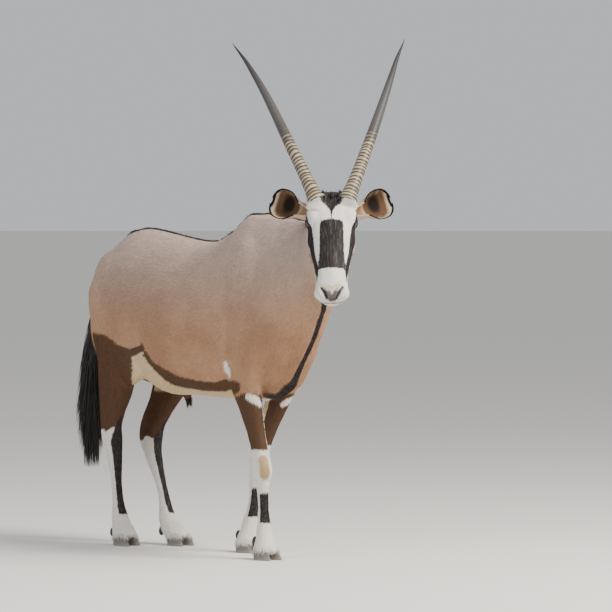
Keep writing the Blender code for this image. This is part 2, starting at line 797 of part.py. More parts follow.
def with_mouth(head, group):
    """Cuts the line between the lips along the surface of the muzzle."""
    place = head_matrix()
    skin = BVHTree.FromObject(head, bpy.context.evaluated_depsgraph_get())
    points = []
    for step in range(MOUTH_STEPS + 1):
        t = 2 * step / MOUTH_STEPS - 1
        x = MOUTH_CORNER[0] + (MOUTH_FRONT[0] - MOUTH_CORNER[0]) * (1 - abs(t) ** 2.2)
        z = MOUTH_CORNER[1] + (MOUTH_FRONT[1] - MOUTH_CORNER[1]) * (1 - abs(t) ** 1.6)
        turn = t * math.pi / 2
        start = Vector((x - 0.06 * math.cos(turn), 0, z))
        ray = Vector((math.cos(turn), math.sin(turn), 0))
        world_ray = place.to_3x3() @ ray
        hit = skin.ray_cast(place @ start, world_ray)[0]
        points.append(hit + world_ray * MOUTH_RADIUS * 0.25)
    radii = [MOUTH_RADIUS] * len(points)
    radii[0] = radii[-1] = MOUTH_RADIUS * 0.4
    groove = tube("mouth_line", points, radii, 4, group)
    return boolean(head, [groove], "DIFFERENCE", group)


def swollen(obj, group):
    """A copy of a solid, larger by the gap all round, for cutting what stands on it."""
    copy = obj_of("swollen_" + obj.name, obj.data.copy(), group)
    modifier(copy, "DISPLACE", strength=GAP, mid_level=0.0)
    return settle(copy)


def ear_surface(side, group):
    """The ear's cup: a leaf rolled up at its root and spread at its tip."""
    place = head_matrix()
    turn = place.to_3x3()
    root = place @ Vector((EAR_ROOT[0], EAR_ROOT[1] * side, EAR_ROOT[2]))
    axis = turn @ Vector((EAR_AXIS[0], EAR_AXIS[1] * side, EAR_AXIS[2])).normalized()
    opening = turn @ Vector((EAR_OPENING[0], EAR_OPENING[1] * side, EAR_OPENING[2]))
    opening = (opening - axis * opening.dot(axis)).normalized()
    across = axis.cross(opening).normalized() * side
    mesh = bmesh.new()
    rows = []
    for along, half, roll in EAR_ROWS:
        radius = half / roll
        row = []
        for step in range(EAR_COLUMNS + 1):
            turn_by = (2 * step / EAR_COLUMNS - 1) * roll
            point = root + axis * (along * EAR_LENGTH)
            point += across * radius * math.sin(turn_by)
            point -= opening * radius * (math.cos(turn_by) - math.cos(roll) * 0.5 - 0.5)
            row.append(mesh.verts.new(point))
        rows.append(row)
    for low, high in zip(rows, rows[1:]):
        for i in range(EAR_COLUMNS):
            mesh.faces.new((low[i], low[i + 1], high[i + 1], high[i]))
    data = bpy.data.meshes.new("ear")
    mesh.to_mesh(data)
    mesh.free()
    ear = obj_of("ear", data, group)
    modifier(ear, "SOLIDIFY", thickness=EAR_WALL, offset=0.0, use_even_offset=True)
    settle(ear)
    stalk_end = root + axis * EAR_LENGTH * 0.20 - opening * 0.006
    stalk = tube(
        "stalk",
        [root - axis * 0.02, root, root.lerp(stalk_end, 0.6), stalk_end],
        (0.020, 0.020, 0.018, 0.009),
        12,
        group,
    )
    return boolean(ear, [stalk], "UNION", group)


def horn_form(side, group):
    """A long horn with rings on its lower part, a little curved."""
    place = head_matrix()
    turn = place.to_3x3()
    base = place @ Vector((HORN_ROOT[0], HORN_ROOT[1] * side, HORN_ROOT[2]))
    lean = HORN_DIRECTION[side]
    ahead = turn @ Vector(lean).normalized()
    inward = turn @ Vector((0, -side, 0))
    inward = (inward - ahead * inward.dot(ahead)).normalized()
    front = turn @ Vector((0, 0, 1))
    front = (front - ahead * front.dot(ahead)).normalized()
    rows = []
    spacing = HORN_RINGED / HORN_RINGS
    for ring in range(HORN_RINGS):
        start = ring * spacing
        swell = HORN_RING_HEIGHT * (1 - 0.5 * ring / HORN_RINGS)
        rows.append((start, 0.0))
        rows.append((start + spacing * 0.55, swell))
    smooth_steps = 8
    for step in range(smooth_steps + 1):
        rows.append((HORN_RINGED + (1 - HORN_RINGED) * step / smooth_steps, 0.0))
    rings = []
    for t, swell in [(-0.03, 0.0)] + rows:
        bow = 4 * t * (1 - t)
        centre = base + ahead * HORN_LENGTH * t + inward * HORN_BOW[side] * bow
        radius = HORN_BASE_RADIUS * (1 - 0.38 * max(t, 0) - 0.62 * max(t, 0) ** 4) + swell
        radius += HORN_FLARE[0] * math.exp(-max(t, 0) / HORN_FLARE[1])
        radius = max(radius, HORN_TIP_RADIUS)
        rings.append(egg_ring(centre, inward, front, radius, radius, radius, (2, 2), 9))
    return loft("horn", rings, group)


def claw_form(centre, outward, group):
    """One claw of a hoof. outward is +1 when the claw's outer side faces +Y."""
    rings = []
    for rise, front, back, width in CLAW_ROWS:
        ring = []
        for step in range(CLAW_SIDES):
            turn = math.tau * step / CLAW_SIDES
            c = math.cos(turn)
            s = math.sin(turn)
            reach = front if c > 0 else back
            x = reach * math.copysign(abs(c) ** (1.25 if c > 0 else 0.8), c)
            bulge = 0.62 if s * outward > 0 else 0.38
            y = 2 * bulge * width * s * (1 - 0.18 * max(c, 0))
            splay = outward * CLAW_SPLAY * x
            ring.append(centre + Vector((x, y * 0.5 + splay, rise)))
        rings.append(ring)
    return loft("claw", rings, group)


def foot_parts(name, centre, flesh, group):
    """The two claws of one foot and the two dewclaws behind its pastern."""
    made = {}
    for label, outward in (("left", 1), ("right", -1)):
        middle = Vector((centre[0], centre[1] + outward * CLAW_OFFSET, 0))
        claw = claw_form(middle, outward, group)
        boolean(claw, [coronet_block(centre, group)], "DIFFERENCE", group)
        made[f"{name}_claw_{label}"] = claw
        place = Vector(DEWCLAW_MIDDLES[name]) + Vector((0, outward * DEWCLAW_APART, 0))
        turn = Matrix.Rotation(math.radians(25), 3, "Y")
        dewclaw = ball("dewclaw", place, DEWCLAW_RADII, turn, group, 6, 5)
        made[f"{name}_dewclaw_{label}"] = cut_on(dewclaw, flesh, group)
    return made


def coronet_block(centre, group):
    """A block whose lower face is the coronet, where claws end below the foot's skin."""
    mesh = bmesh.new()
    lift = CORONET_HEIGHT - GAP / 2 + 0.1
    tilt = Matrix.Rotation(CORONET_TILT, 4, "Y")
    pivot = Vector((centre[0], centre[1], CORONET_HEIGHT))
    box = Matrix.Translation(Vector((0, 0, lift - CORONET_HEIGHT)))
    place = Matrix.Translation(pivot) @ tilt @ box @ Matrix.Diagonal((0.3, 0.2, 0.2, 1))
    bmesh.ops.create_cube(mesh, size=1.0, matrix=place)
    data = bpy.data.meshes.new("coronet_block")
    mesh.to_mesh(data)
    mesh.free()
    return obj_of("coronet_block", data, group)


def coronet_slab(centre, group):
    normal = Matrix.Rotation(CORONET_TILT, 3, "Y") @ Vector((0, 0, 1))
    return slab(Vector((centre[0], centre[1], CORONET_HEIGHT)), normal, 0.072, group)


def lock(root, direction, bend, length, width, depth, group, segments=4, flat=None):
    """A flat tapered lock of hair, bent along its length and pointed at its tip."""
    direction = direction.normalized()
    flat = direction.orthogonal() if flat is None else flat
    rings = []
    for step in range(segments + 1):
        t = step / segments
        centre = root + direction * length * t + bend * t * t
        along = (direction * length + bend * 2 * t).normalized()
        across = (flat - along * flat.dot(along)).normalized()
        out = along.cross(across)
        size = LOCK_PROFILE[0] + (1 - LOCK_PROFILE[0]) * math.sin(math.pi * min(0.5, 1.4 * t))
        taper = (1 - t**LOCK_PROFILE[1]) * size + LOCK_PROFILE[2]
        ring = [
            centre + across * width * taper,
            centre + out * depth * taper,
            centre - across * width * taper,
            centre - out * depth * taper,
        ]
        rings.append(ring)
    return loft("lock", rings, group)


def tail_form(flesh, group):
    """The fleshy part of the tail, cut where it leaves the rump."""
    dock = dock_piece(group)
    boolean(dock, [swollen(flesh, group)], "DIFFERENCE", group)
    largest(dock)
    end = DOCK_CUT
    spare = slab_below(end, group)
    return boolean(dock, [spare], "DIFFERENCE", group)


def slab_below(height, group):
    """A block with its top at a height, for ending the dock."""
    mesh = bmesh.new()
    size = Matrix.Diagonal((0.2, 0.2, 0.4, 1))
    place = Matrix.Translation((DOCK[-1][0], 0, height - 0.2)) @ size
    bmesh.ops.create_cube(mesh, size=1.0, matrix=place)
    data = bpy.data.meshes.new("tail_block")
    mesh.to_mesh(data)
    mesh.free()
    return obj_of("tail_block", data, group)


def tuft_line(t):
    """The middle of the tail's tuft at a share of its length."""
    top = Vector(TUFT_TOP)
    low = Vector(TUFT_LOW)
    sway = math.sin(math.pi * t) * TUFT_SWAY
    return top.lerp(low, t) + Vector((sway, 0, 0))


def tuft_form(group):
    """The black tail hair: locks fused on a core that reaches half way down them."""
    rings = []
    for t, radius in TUFT_CORE:
        ring = []
        for step in range(10):
            turn = math.tau * step / 10
            ring.append(tuft_line(t) + Vector((math.cos(turn), math.sin(turn), 0)) * radius)
        rings.append(ring)
    core = loft("tuft", rings, group)
    locks = []
    for start, count, reach, spread in TUFT_TIERS:
        for i in range(count):
            turn = math.tau * (i + random.uniform(-0.22, 0.22)) / count + start * 7
            around = Vector((math.cos(turn), math.sin(turn), 0))
            t = start + random.uniform(-0.02, 0.02)
            root = tuft_line(t) + around * TUFT_ROOT
            end_t = min(1.0, t + reach * random.uniform(0.86, 1.06))
            tip = tuft_line(end_t) + around * spread * random.uniform(0.7, 1.15)
            way = tip - root
            bend = around * random.uniform(-0.010, 0.004)
            bend += Vector((random.uniform(-0.008, 0.008), random.uniform(-0.008, 0.008), 0))
            locks.append(
                lock(root, way - bend, bend, (way - bend).length, TUFT_LOCK[0], TUFT_LOCK[1],
                     group, 4, around.cross(Vector((0, 0, 1))))
            )
    boolean(core, locks, "UNION", group)
    return largest(core)


def sheath_form(flesh, group):
    """The sheath under the belly, with a small brush of hair."""
    top = Vector(SHEATH_TOP)
    tip = Vector(SHEATH_TIP)
    points = [top.lerp(tip, t) for t in (0.0, 0.4, 0.75, 1.0)]
    body = tube("sheath", points, (0.026, 0.020, 0.013, 0.006), 8, group)
    brush = []
    for i in range(SHEATH_LOCKS):
        turn = math.tau * i / SHEATH_LOCKS
        around = Vector((math.cos(turn), math.sin(turn), 0))
        root = top.lerp(tip, 0.72) + around * 0.007
        way = Vector((0.010, 0, -0.030)) + around * 0.006
        brush.append(lock(root, way, around * 0.003, way.length, 0.0045, 0.003, group, 2))
    boolean(body, brush, "UNION", group)
    boolean(body, [swollen(flesh, group)], "DIFFERENCE", group)
    return largest(body)


def mane_locks(group):
    """Short hair along the crest of the neck and over the withers."""
    crest = [Vector(row[0]) for row in NECK]
    made = []
    for i in range(MANE_LOCKS):
        t = i / (MANE_LOCKS - 1) * (len(crest) - 2.3) + 1.05
        low = int(t)
        here = crest[low].lerp(crest[low + 1], t - low)
        along = (crest[low + 1] - crest[low]).normalized()
        lean = (-1) ** i * 0.5
        side = along.cross(Vector((0, 0, 1))).normalized()
        root = here + side * (-1) ** i * 0.004 - Vector((0, 0, 0.012))
        way = Vector((0, 0, 0.62)) - along + side * lean * random.uniform(0.1, 0.5)
        length = MANE_LENGTH * random.uniform(0.85, 1.15)
        bend = Vector((0, 0, -0.006))
        made.append(lock(root, way, bend, length, MANE_LOCK[0], MANE_LOCK[1], group, 2, along))
    return made


def cut_on(obj, flesh, group):
    """Trims a solid to stand on the flesh, a gap away from it."""
    boolean(obj, [swollen(flesh, group)], "DIFFERENCE", group)
    return largest(obj)


def named(obj, name, coat, root):
    """Gives a finished node its name, its material and its place under the root."""
    obj.name = name
    obj.data.name = name
    obj.data.materials.clear()
    obj.data.materials.append(coat)
    for polygon in obj.data.polygons:
        polygon.material_index = 0
        polygon.use_smooth = True
    obj.parent = root
    return obj


def stood_at_origin(root, nodes):
    """Moves the root so that the origin is on the floor under the middle of the whole box."""
    corners = [vert.co for node in nodes for vert in node.data.vertices]
    for axis in (0, 1):
        values = [corner[axis] for corner in corners]
        root.location[axis] = -(min(values) + max(values)) / 2


def flesh_nodes(group):
    """The head, trunk, neck and legs: fused forms, cut apart into nodes."""
    head = head_form(group)
    with_eyelids(head, group)
    with_nostrils(head, group)
    with_mouth(head, group)
    boolean(head, [slab(*NECK_HEAD_CUT, group)], "DIFFERENCE", group)
    made = parted(head, {"head": HEAD_ANCHOR}, group)
    body = body_form(group)
    boolean(body, mane_locks(group), "UNION", group)
    cutters = [slab(*cut, group) for cut in BODY_CUTS]
    cutters += [coronet_slab(centre, group) for centre in FOOT_CENTRES.values()]
    boolean(body, cutters, "DIFFERENCE", group)
    made.update(parted(body, BODY_ANCHORS, group))
    return made


def head_pieces(head, group):
    """The eyes, horns and ears, which stand in or on the head."""
    made = {}
    upright = Matrix.Identity(3)
    for label, centre, _, _ in eye_places():
        made[f"eye_{label}"] = ball("eye", centre, (EYE_RADIUS,) * 3, upright, group, *EYE_FACETS)
    for label, side in (("left", 1), ("right", -1)):
        made[f"horn_{label}"] = cut_on(horn_form(side, group), head, group)
        made[f"ear_{label}"] = cut_on(ear_surface(side, group), head, group)
    return made


def main():
    clear_scene()
    random.seed(SEED)
    parts = collection("gemsbok")
    root = obj_of("stance", None, parts)
    coat = material("coat", COAT, 0.85)
    dark_hair = material("dark_hair", DARK, 0.8)
    leg_coat = material("leg_coat", LEG, 0.85)
    face_coat = material("face_coat", FACE, 0.8)
    horn = material("horn", HORN, 0.55)
    hoof = material("hoof", HOOF, 0.5)
    eye = material("eye", EYE, 0.08)

    flesh = flesh_nodes(parts)
    nodes = {}
    for name, node in flesh.items():
        kind = face_coat if name == "head" else leg_coat if "leg" in name else coat
        nodes[name] = named(node, name, kind, root)
    for name, node in head_pieces(flesh["head"], parts).items():
        kind = {"eye": eye, "horn": horn, "ear": face_coat}[name.split("_")[0]]
        nodes[name] = named(node, name, kind, root)
    for foot, centre in FOOT_CENTRES.items():
        for name, node in foot_parts(foot, centre, flesh[f"{foot}_lower"], parts).items():
            nodes[name] = named(node, name, hoof, root)
    nodes["tail"] = named(tail_form(flesh["torso"], parts), "tail", coat, root)
    nodes["tail_tuft"] = named(tuft_form(parts), "tail_tuft", dark_hair, root)
    nodes["sheath"] = named(sheath_form(flesh["torso"], parts), "sheath", coat, root)
    stood_at_origin(root, nodes.values())


if __name__ == "__main__":
    main()
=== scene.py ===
# %% [markdown]
# # A gemsbok, life size
# A gemsbok is a large antelope of dry country: a grey-fawn body, a black and white face, long
# straight horns and a black tail. This lesson starts from a plain model of one, loaded as a
# frame that stays as it is, and dresses it: one skin over all the flesh, a coat of many thousand
# small tufts, long hair for mane and tail, and eyes, ears, horns and hooves of their own.

# %% Load the plain model
import json
import math

import bpy
import numpy as np
from mathutils import Matrix, Vector
from mathutils.bvhtree import BVHTree

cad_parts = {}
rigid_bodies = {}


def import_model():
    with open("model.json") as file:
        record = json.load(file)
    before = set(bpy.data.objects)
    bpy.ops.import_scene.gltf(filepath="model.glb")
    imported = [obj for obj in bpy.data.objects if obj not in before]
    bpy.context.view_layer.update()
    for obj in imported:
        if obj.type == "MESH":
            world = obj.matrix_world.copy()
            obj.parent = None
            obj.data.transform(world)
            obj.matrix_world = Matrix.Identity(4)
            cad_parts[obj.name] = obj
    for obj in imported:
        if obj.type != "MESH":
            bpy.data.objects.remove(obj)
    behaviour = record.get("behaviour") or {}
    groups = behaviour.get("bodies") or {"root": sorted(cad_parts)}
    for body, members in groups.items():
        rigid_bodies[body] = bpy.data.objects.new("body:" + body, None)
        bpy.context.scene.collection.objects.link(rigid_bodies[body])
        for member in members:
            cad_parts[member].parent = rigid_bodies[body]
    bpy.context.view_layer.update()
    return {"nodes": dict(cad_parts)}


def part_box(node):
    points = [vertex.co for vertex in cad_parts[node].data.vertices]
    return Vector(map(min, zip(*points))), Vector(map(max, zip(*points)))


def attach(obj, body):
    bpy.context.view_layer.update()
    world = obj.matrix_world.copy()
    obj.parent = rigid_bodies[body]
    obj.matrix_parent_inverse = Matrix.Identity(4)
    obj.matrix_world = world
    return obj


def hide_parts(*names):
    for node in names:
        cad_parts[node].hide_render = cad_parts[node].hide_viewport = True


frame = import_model()
nodes = frame["nodes"]
print("the plain model has", len(nodes), "nodes")

# %% [markdown]
# ## Places on the animal
# Two sets of axes make every later number easy to read. The body's own run forward along x,
# to the animal's left along y and up along z, from the ground under its middle. The head's run
# from the poll, between the horns, with x down the face to the nose, y to the animal's left
# and z out of the forehead.

# %% The body's and the head's own axes
BODY_MIDDLE = Vector((-0.133100, -0.098804, 0.0))
POLL = Vector((0.8054, -0.101, 1.262))
HEAD_YAW = math.radians(-40)
HEAD_PITCH = math.radians(53)

body_place = Matrix.Translation(BODY_MIDDLE)
head_place = (
    body_place
    @ Matrix.Translation(POLL)
    @ Matrix.Rotation(HEAD_YAW, 4, "Z")
    @ Matrix.Rotation(HEAD_PITCH, 4, "Y")
)


def seen_from(place, points):
    """Points of the scene as numbers along another set of axes."""
    back = np.array(place.inverted())
    return points @ back[:3, :3].T + back[:3, 3]


def put_from(place, points):
    """The way back: points given along those axes, as points of the scene."""
    forth = np.array(place)
    return points @ forth[:3, :3].T + forth[:3, 3]


def turned(place, direction):
    """A direction along those axes, as a direction of the scene, one long."""
    return (place.to_3x3() @ Vector(direction)).normalized()


print("the poll stands", round(head_place.translation.z, 3), "m high")

# %% [markdown]
# ## Floor, light and camera
# The floor is plain and pale. The light is soft: one broad lamp high on the right, as an
# afternoon sun through thin cloud, a weaker one from the left, and a pale sky all round that
# keeps the shadows open. The camera looks at the animal's right side from well in front of it,
# from far off with a long lens, which keeps near and far legs almost the same size.

# %% A pale floor
bpy.ops.mesh.primitive_plane_add(size=600, location=(0, 0, 0))
floor = bpy.context.object
floor.name = "floor"
floor_finish = bpy.data.materials.new("floor_paint")
floor_finish.use_nodes = True
floor_shader = floor_finish.node_tree.nodes["Principled BSDF"]
floor_shader.inputs["Base Color"].default_value = (0.80, 0.77, 0.72, 1)
floor_shader.inputs["Roughness"].default_value = 0.9
floor.data.materials.append(floor_finish)
print("the floor lies at", floor.location.z, "m")

# %% Soft lamps and a pale sky
AIM = Vector((0.0, 0.0, 0.9))


def add_lamp(name, place, size, power, colour):
    """A square area lamp that faces the animal."""
    bpy.ops.object.light_add(type="AREA", location=place)
    lamp = bpy.context.object
    lamp.name = name
    lamp.data.size = size
    lamp.data.energy = power
    lamp.data.color = colour
    lamp.rotation_euler = (AIM - Vector(place)).to_track_quat("-Z", "Y").to_euler()


add_lamp("sun_lamp", (4.2, 1.2, 5.0), 2.6, 680, (1.0, 0.95, 0.88))
add_lamp("fill_lamp", (1.0, -6.5, 3.2), 4.0, 190, (0.92, 0.96, 1.0))
sky = bpy.data.worlds.new("sky")
sky.use_nodes = True
sky.node_tree.nodes["Background"].inputs["Color"].default_value = (0.86, 0.88, 0.92, 1)
sky.node_tree.nodes["Background"].inputs["Strength"].default_value = 0.68
bpy.context.scene.world = sky

# %% The camera
CAMERA_PLACE = (11.585, -9.470, 1.237)
CAMERA_TURN = (math.radians(90 - 1.378), 0.0, math.radians(50))
LENS = 247.06
bpy.ops.object.camera_add(location=CAMERA_PLACE, rotation=CAMERA_TURN)
camera = bpy.context.object
camera.name = "camera"
camera.data.lens = LENS
camera.data.clip_end = 200
bpy.context.scene.camera = camera
print("the camera stands", round(Vector(CAMERA_PLACE).length, 1), "m away")

# %% [markdown]
# ## One skin over all the flesh
# The plain model is cut into head, neck, trunk and legs, and a living animal shows no such
# cuts. Copies of those nodes are joined and fused by a voxel remesh, which builds one new skin
# around everything that it finds. The smooth trunk needs fewer faces than the face and the
# legs do, so a Decimate, led by a vertex group, thins only the trunk. Two balls fill the eye
# sockets first, so that the lids can be shaped on solid ground.

# %% Helpers for whole meshes
def only(piece):
    """Makes one object the only selected and the active one."""
    bpy.ops.object.select_all(action="DESELECT")
    piece.select_set(True)
    bpy.context.view_layer.objects.active = piece


def add_modifier(piece, kind, **settings):
    """Adds a modifier and applies it at once."""
    only(piece)
    step = piece.modifiers.new(kind.lower(), kind)
    for key, value in settings.items():
        setattr(step, key, value)
    bpy.ops.object.modifier_apply(modifier=step.name)


def coords_of(piece):
    """The places of all vertices, one row each."""
    found = np.empty(len(piece.data.vertices) * 3)
    piece.data.vertices.foreach_get("co", found)
    return found.reshape(-1, 3)


def normals_of(piece):
    """The directions in which the surface faces at the vertices."""
    found = np.empty(len(piece.data.vertices) * 3)
    piece.data.vertices.foreach_get("normal", found)
    return found.reshape(-1, 3)


def edges_of(piece):
    """The two vertex numbers of every edge."""
    found = np.empty(len(piece.data.edges) * 2, np.int32)
    piece.data.edges.foreach_get("vertices", found)
    return found.reshape(-1, 2)


def move_to(piece, coords):
    """Puts the vertices at new places."""
    piece.data.vertices.foreach_set("co", coords.ravel())
    piece.data.update()


def moved_count(piece, coords):
    """How many vertices new places move by more than a tenth of a millimetre."""
    return int((np.linalg.norm(coords - coords_of(piece), axis=1) > 0.0001).sum())


# %% The flesh nodes, copied and joined
LEG_NAMES = ("foreleg_left", "foreleg_right", "hindleg_left", "hindleg_right")
FLESH = ["head", "neck", "torso", "tail", "sheath"]
FLESH += [f"{leg}_{part}" for leg in LEG_NAMES for part in ("upper", "lower")]
OVERLAP = 0.0006


def joined_copies(name, node_names, overlap=0.0):
    """Copies of CAD nodes as one object, each merged first and swollen a little."""
    copies = []
    for node_name in node_names:
        copy = bpy.data.objects.new(name, nodes[node_name].data.copy())
        bpy.context.scene.collection.objects.link(copy)
        only(copy)
        bpy.ops.object.mode_set(mode="EDIT")
        bpy.ops.mesh.select_all(action="SELECT")
        bpy.ops.mesh.remove_doubles(threshold=0.00001)
        bpy.ops.object.mode_set(mode="OBJECT")
        move_to(copy, coords_of(copy) + normals_of(copy) * overlap)
        copy.data.materials.clear()
        copies.append(copy)
    only(copies[0])
    for copy in copies:
        copy.select_set(True)
    bpy.ops.object.join()
    return bpy.context.object


skin = joined_copies("skin", FLESH, OVERLAP)
print("the joined flesh has", len(skin.data.polygons), "faces")

# %% The eyes' places, and balls that fill the sockets
SIDES = {"left": 1, "right": -1}
EYE_RADIUS = 0.0205
EYE_CENTRE = (0.080, 0.0660, -0.038)  # the left eye's, along the head's axes
EYE_LOOK = (0.16, 0.93, 0.22)
EYE_ALONG = (1, 0, -0.16)
SOCKET_FILL = 0.0015  # how much larger the balls in the sockets are than the eyes


def eye_axes(side):
    """Axes at the middle of an eye: x along the lids, y up across them, z out of the eye."""
    centre = head_place @ Vector((EYE_CENTRE[0], EYE_CENTRE[1] * side, EYE_CENTRE[2]))
    look = turned(head_place, (EYE_LOOK[0], EYE_LOOK[1] * side, EYE_LOOK[2]))
    along = turned(head_place, EYE_ALONG)
    along = (along - look * along.dot(look)).normalized()
    across = look.cross(along).normalized()
    if across.z < 0:
        across = -across
    place = Matrix((along, across, look)).transposed().to_4x4()
    place.translation = centre
    return place


eye_places = {name: eye_axes(side) for name, side in SIDES.items()}
for place in eye_places.values():
    bpy.ops.mesh.primitive_uv_sphere_add(
        segments=32, ring_count=16, radius=EYE_RADIUS + SOCKET_FILL, location=place.translation
    )
    ball = bpy.context.object
    only(skin)
    ball.select_set(True)
    bpy.ops.object.join()
print("with the balls it has", len(skin.data.polygons), "faces")

# %% Fused by voxels
FUSE_VOXEL = 0.0055
add_modifier(skin, "REMESH", mode="VOXEL", voxel_size=FUSE_VOXEL)
only(skin)
bpy.ops.object.mode_set(mode="EDIT")
bpy.ops.mesh.select_all(action="DESELECT")
bpy.ops.object.mode_set(mode="OBJECT")
# The vertex furthest forward is on the outer skin. What isn't linked to it is a closed-in hollow.
skin.data.vertices[int(np.argmax(coords_of(skin)[:, 0]))].select = True
bpy.ops.object.mode_set(mode="EDIT")
bpy.ops.mesh.select_linked()
bpy.ops.mesh.select_all(action="INVERT")
bpy.ops.mesh.delete(type="VERT")
bpy.ops.object.mode_set(mode="OBJECT")
print("fused, the skin has", len(skin.data.polygons), "faces")

# %% Helpers that smooth
def relax(coords, edges, weight, turns, share=0.5):
    """Moves each vertex towards the mean of its neighbours, as far as its weight says."""
    count = np.bincount(edges.ravel(), minlength=len(coords))[:, None]
    for _ in range(turns):
        total = np.zeros_like(coords)
        for axis in range(coords.shape[1]):
            values = coords[:, axis]
            total[:, axis] = np.bincount(edges[:, 0], values[edges[:, 1]], len(coords))
            total[:, axis] += np.bincount(edges[:, 1], values[edges[:, 0]], len(coords))
        coords = coords + (total / np.maximum(count, 1) - coords) * weight[:, None] * share
    return coords


def step_up(value, low, high):
    """0 below low, 1 above high, and a smooth rise between them."""
    t = np.clip((value - low) / (high - low), 0, 1)
    return t * t * (3 - 2 * t)


# %% Thinned where it is smooth
TRUNK_KEPT = 0.47
HEAD_MIDDLE = (0.19, 0.0, -0.08)
HEAD_REACH = (0.27, 0.17, 0.17)


def face_share(points):
    """1 on the head, 0 on the body, and a smooth step behind the ears."""
    near = seen_from(head_place, points)
    reach = np.linalg.norm((near - HEAD_MIDDLE) / HEAD_REACH, axis=1)
    return 1 - step_up(reach, 0.92, 1.02)


flesh_coords = coords_of(skin)
on_face = face_share(flesh_coords)
above_legs = step_up(flesh_coords[:, 2], 0.58, 0.66) * (1 - on_face)
skin.vertex_groups.new(name="smooth_trunk")
trunk_group = skin.vertex_groups["smooth_trunk"]
for vertex in np.nonzero(above_legs > 0.5)[0]:
    trunk_group.add([int(vertex)], 1.0, "REPLACE")
move_to(skin, relax(flesh_coords, edges_of(skin), 0.5 + 0.5 * above_legs, 4))
add_modifier(skin, "DECIMATE", ratio=TRUNK_KEPT, vertex_group="smooth_trunk")
print("thinned, it has", len(skin.data.polygons))

# %% [markdown]
# ### Finer faces on the head
# The face carries lids, nostrils and lips that are only millimetres wide, so its faces are
# divided in edit mode: once round the eyes and over the muzzle, and again closer to them.
# After each step the new vertices are relaxed, which rounds the facets of the coarser mesh.

# %% Divide the head's faces
LIDS_MIDDLE = (0.080, 0.074, -0.036)


def face_places(piece):
    """The middles of all faces."""
    found = np.empty(len(piece.data.polygons) * 3)
    piece.data.polygons.foreach_get("center", found)
    return found.reshape(-1, 3)


def divide_where(piece, wanted):
    """Subdivides the faces that are marked True."""
    only(piece)
    bpy.ops.object.mode_set(mode="EDIT")
    bpy.ops.mesh.select_all(action="DESELECT")
    bpy.ops.object.mode_set(mode="OBJECT")
    piece.data.polygons.foreach_set("select", wanted)
    bpy.ops.object.mode_set(mode="EDIT")
    bpy.ops.mesh.select_mode(type="FACE")
    bpy.ops.mesh.subdivide(number_cuts=1, quadcorner="INNERVERT")
    bpy.ops.object.mode_set(mode="OBJECT")


def near_features(points, nose, eyes):
    """True round the eyes, and over the nose and mouth, out to the given reach."""
    near = seen_from(head_place, points)
    found = near[:, 0] > nose
    for side in SIDES.values():
        middle = np.array(LIDS_MIDDLE) * (1, side, 1)
        found |= np.linalg.norm(near - middle, axis=1) < eyes
    return found & (face_share(points) > 0.5)


for nose, eyes in ((0.290, 0.060), (0.330, 0.036)):
    divide_where(skin, near_features(face_places(skin), nose, eyes))
    coords = coords_of(skin)
    close = near_features(coords, nose, eyes) * 1.0
    move_to(skin, relax(coords, edges_of(skin), close, 4))
    print("the skin has", len(skin.data.vertices), "vertices")

# %% [markdown]
# ### Under the coat
# Hair adds a few millimetres all round, so the skin is drawn in by the coat's depth: most on
# the trunk, and least on the face and feet. The plain model's mane is smoothed away too, as
# finer hair takes its place later.

# %% Draw the skin in by the coat's depth
TRUNK_DEPTH = 0.0035
FINE_DEPTH = 0.0012
MANE_DEPTH = 0.005
FOOT_FLARE = 0.0085  # how far the long hair of the feet stands out instead


def crest_share(points):
    """1 along the top of the neck and withers, where the plain mane stands."""
    own = seen_from(body_place, points)
    beside = np.abs(own[:, 1] + 0.10 * step_up(own[:, 0], 0.52, 0.80) ** 1.5)
    top = 1.175 - 0.04 * step_up(own[:, 0], 0.40, 0.25)
    share = (1 - step_up(beside, 0.028, 0.045)) * step_up(own[:, 2], top - 0.01, top + 0.01)
    return share * step_up(own[:, 0], 0.26, 0.34) * (1 - face_share(points))


def drawn_in(piece):
    """The skin's places after the coat's depth is taken off."""
    coords = coords_of(piece)
    face = face_share(coords)
    low = 1 - step_up(coords[:, 2], 0.10, 0.60)
    depth = TRUNK_DEPTH + (FINE_DEPTH - TRUNK_DEPTH) * np.maximum(face, low)
    depth = depth + MANE_DEPTH * crest_share(coords)
    depth = depth - FOOT_FLARE * (1 - step_up(coords[:, 2], 0.045, 0.115))
    return coords - normals_of(piece) * depth[:, None]


coords = coords_of(skin)
move_to(skin, relax(coords, edges_of(skin), crest_share(coords), 40))
coords = drawn_in(skin)
print("drawing in moves", moved_count(skin, coords), "vertices")
move_to(skin, coords)

# %% [markdown]
# ### Lids, nostrils and lips
# These are pressed into the skin by moving its vertices, as a modeller's tool presses clay.
# Round each eye, the skin is laid over a ball a little larger than the eye, and inside an
# almond-shaped outline it is pushed behind the eye's surface, which leaves the two lids.

# %% The eyelids
LID_LENGTH = 0.0178
LID_HEIGHTS = {1: 0.0105, -1: 0.0082}
LID_THICKNESS = 0.0026


def almond_reach(a, b):
    """Below 1 inside the almond between the lids, above 1 outside it."""
    height = np.where(b > 0, LID_HEIGHTS[1], LID_HEIGHTS[-1])
    return (a / LID_LENGTH) ** 2 + np.abs(b / height) ** 1.7


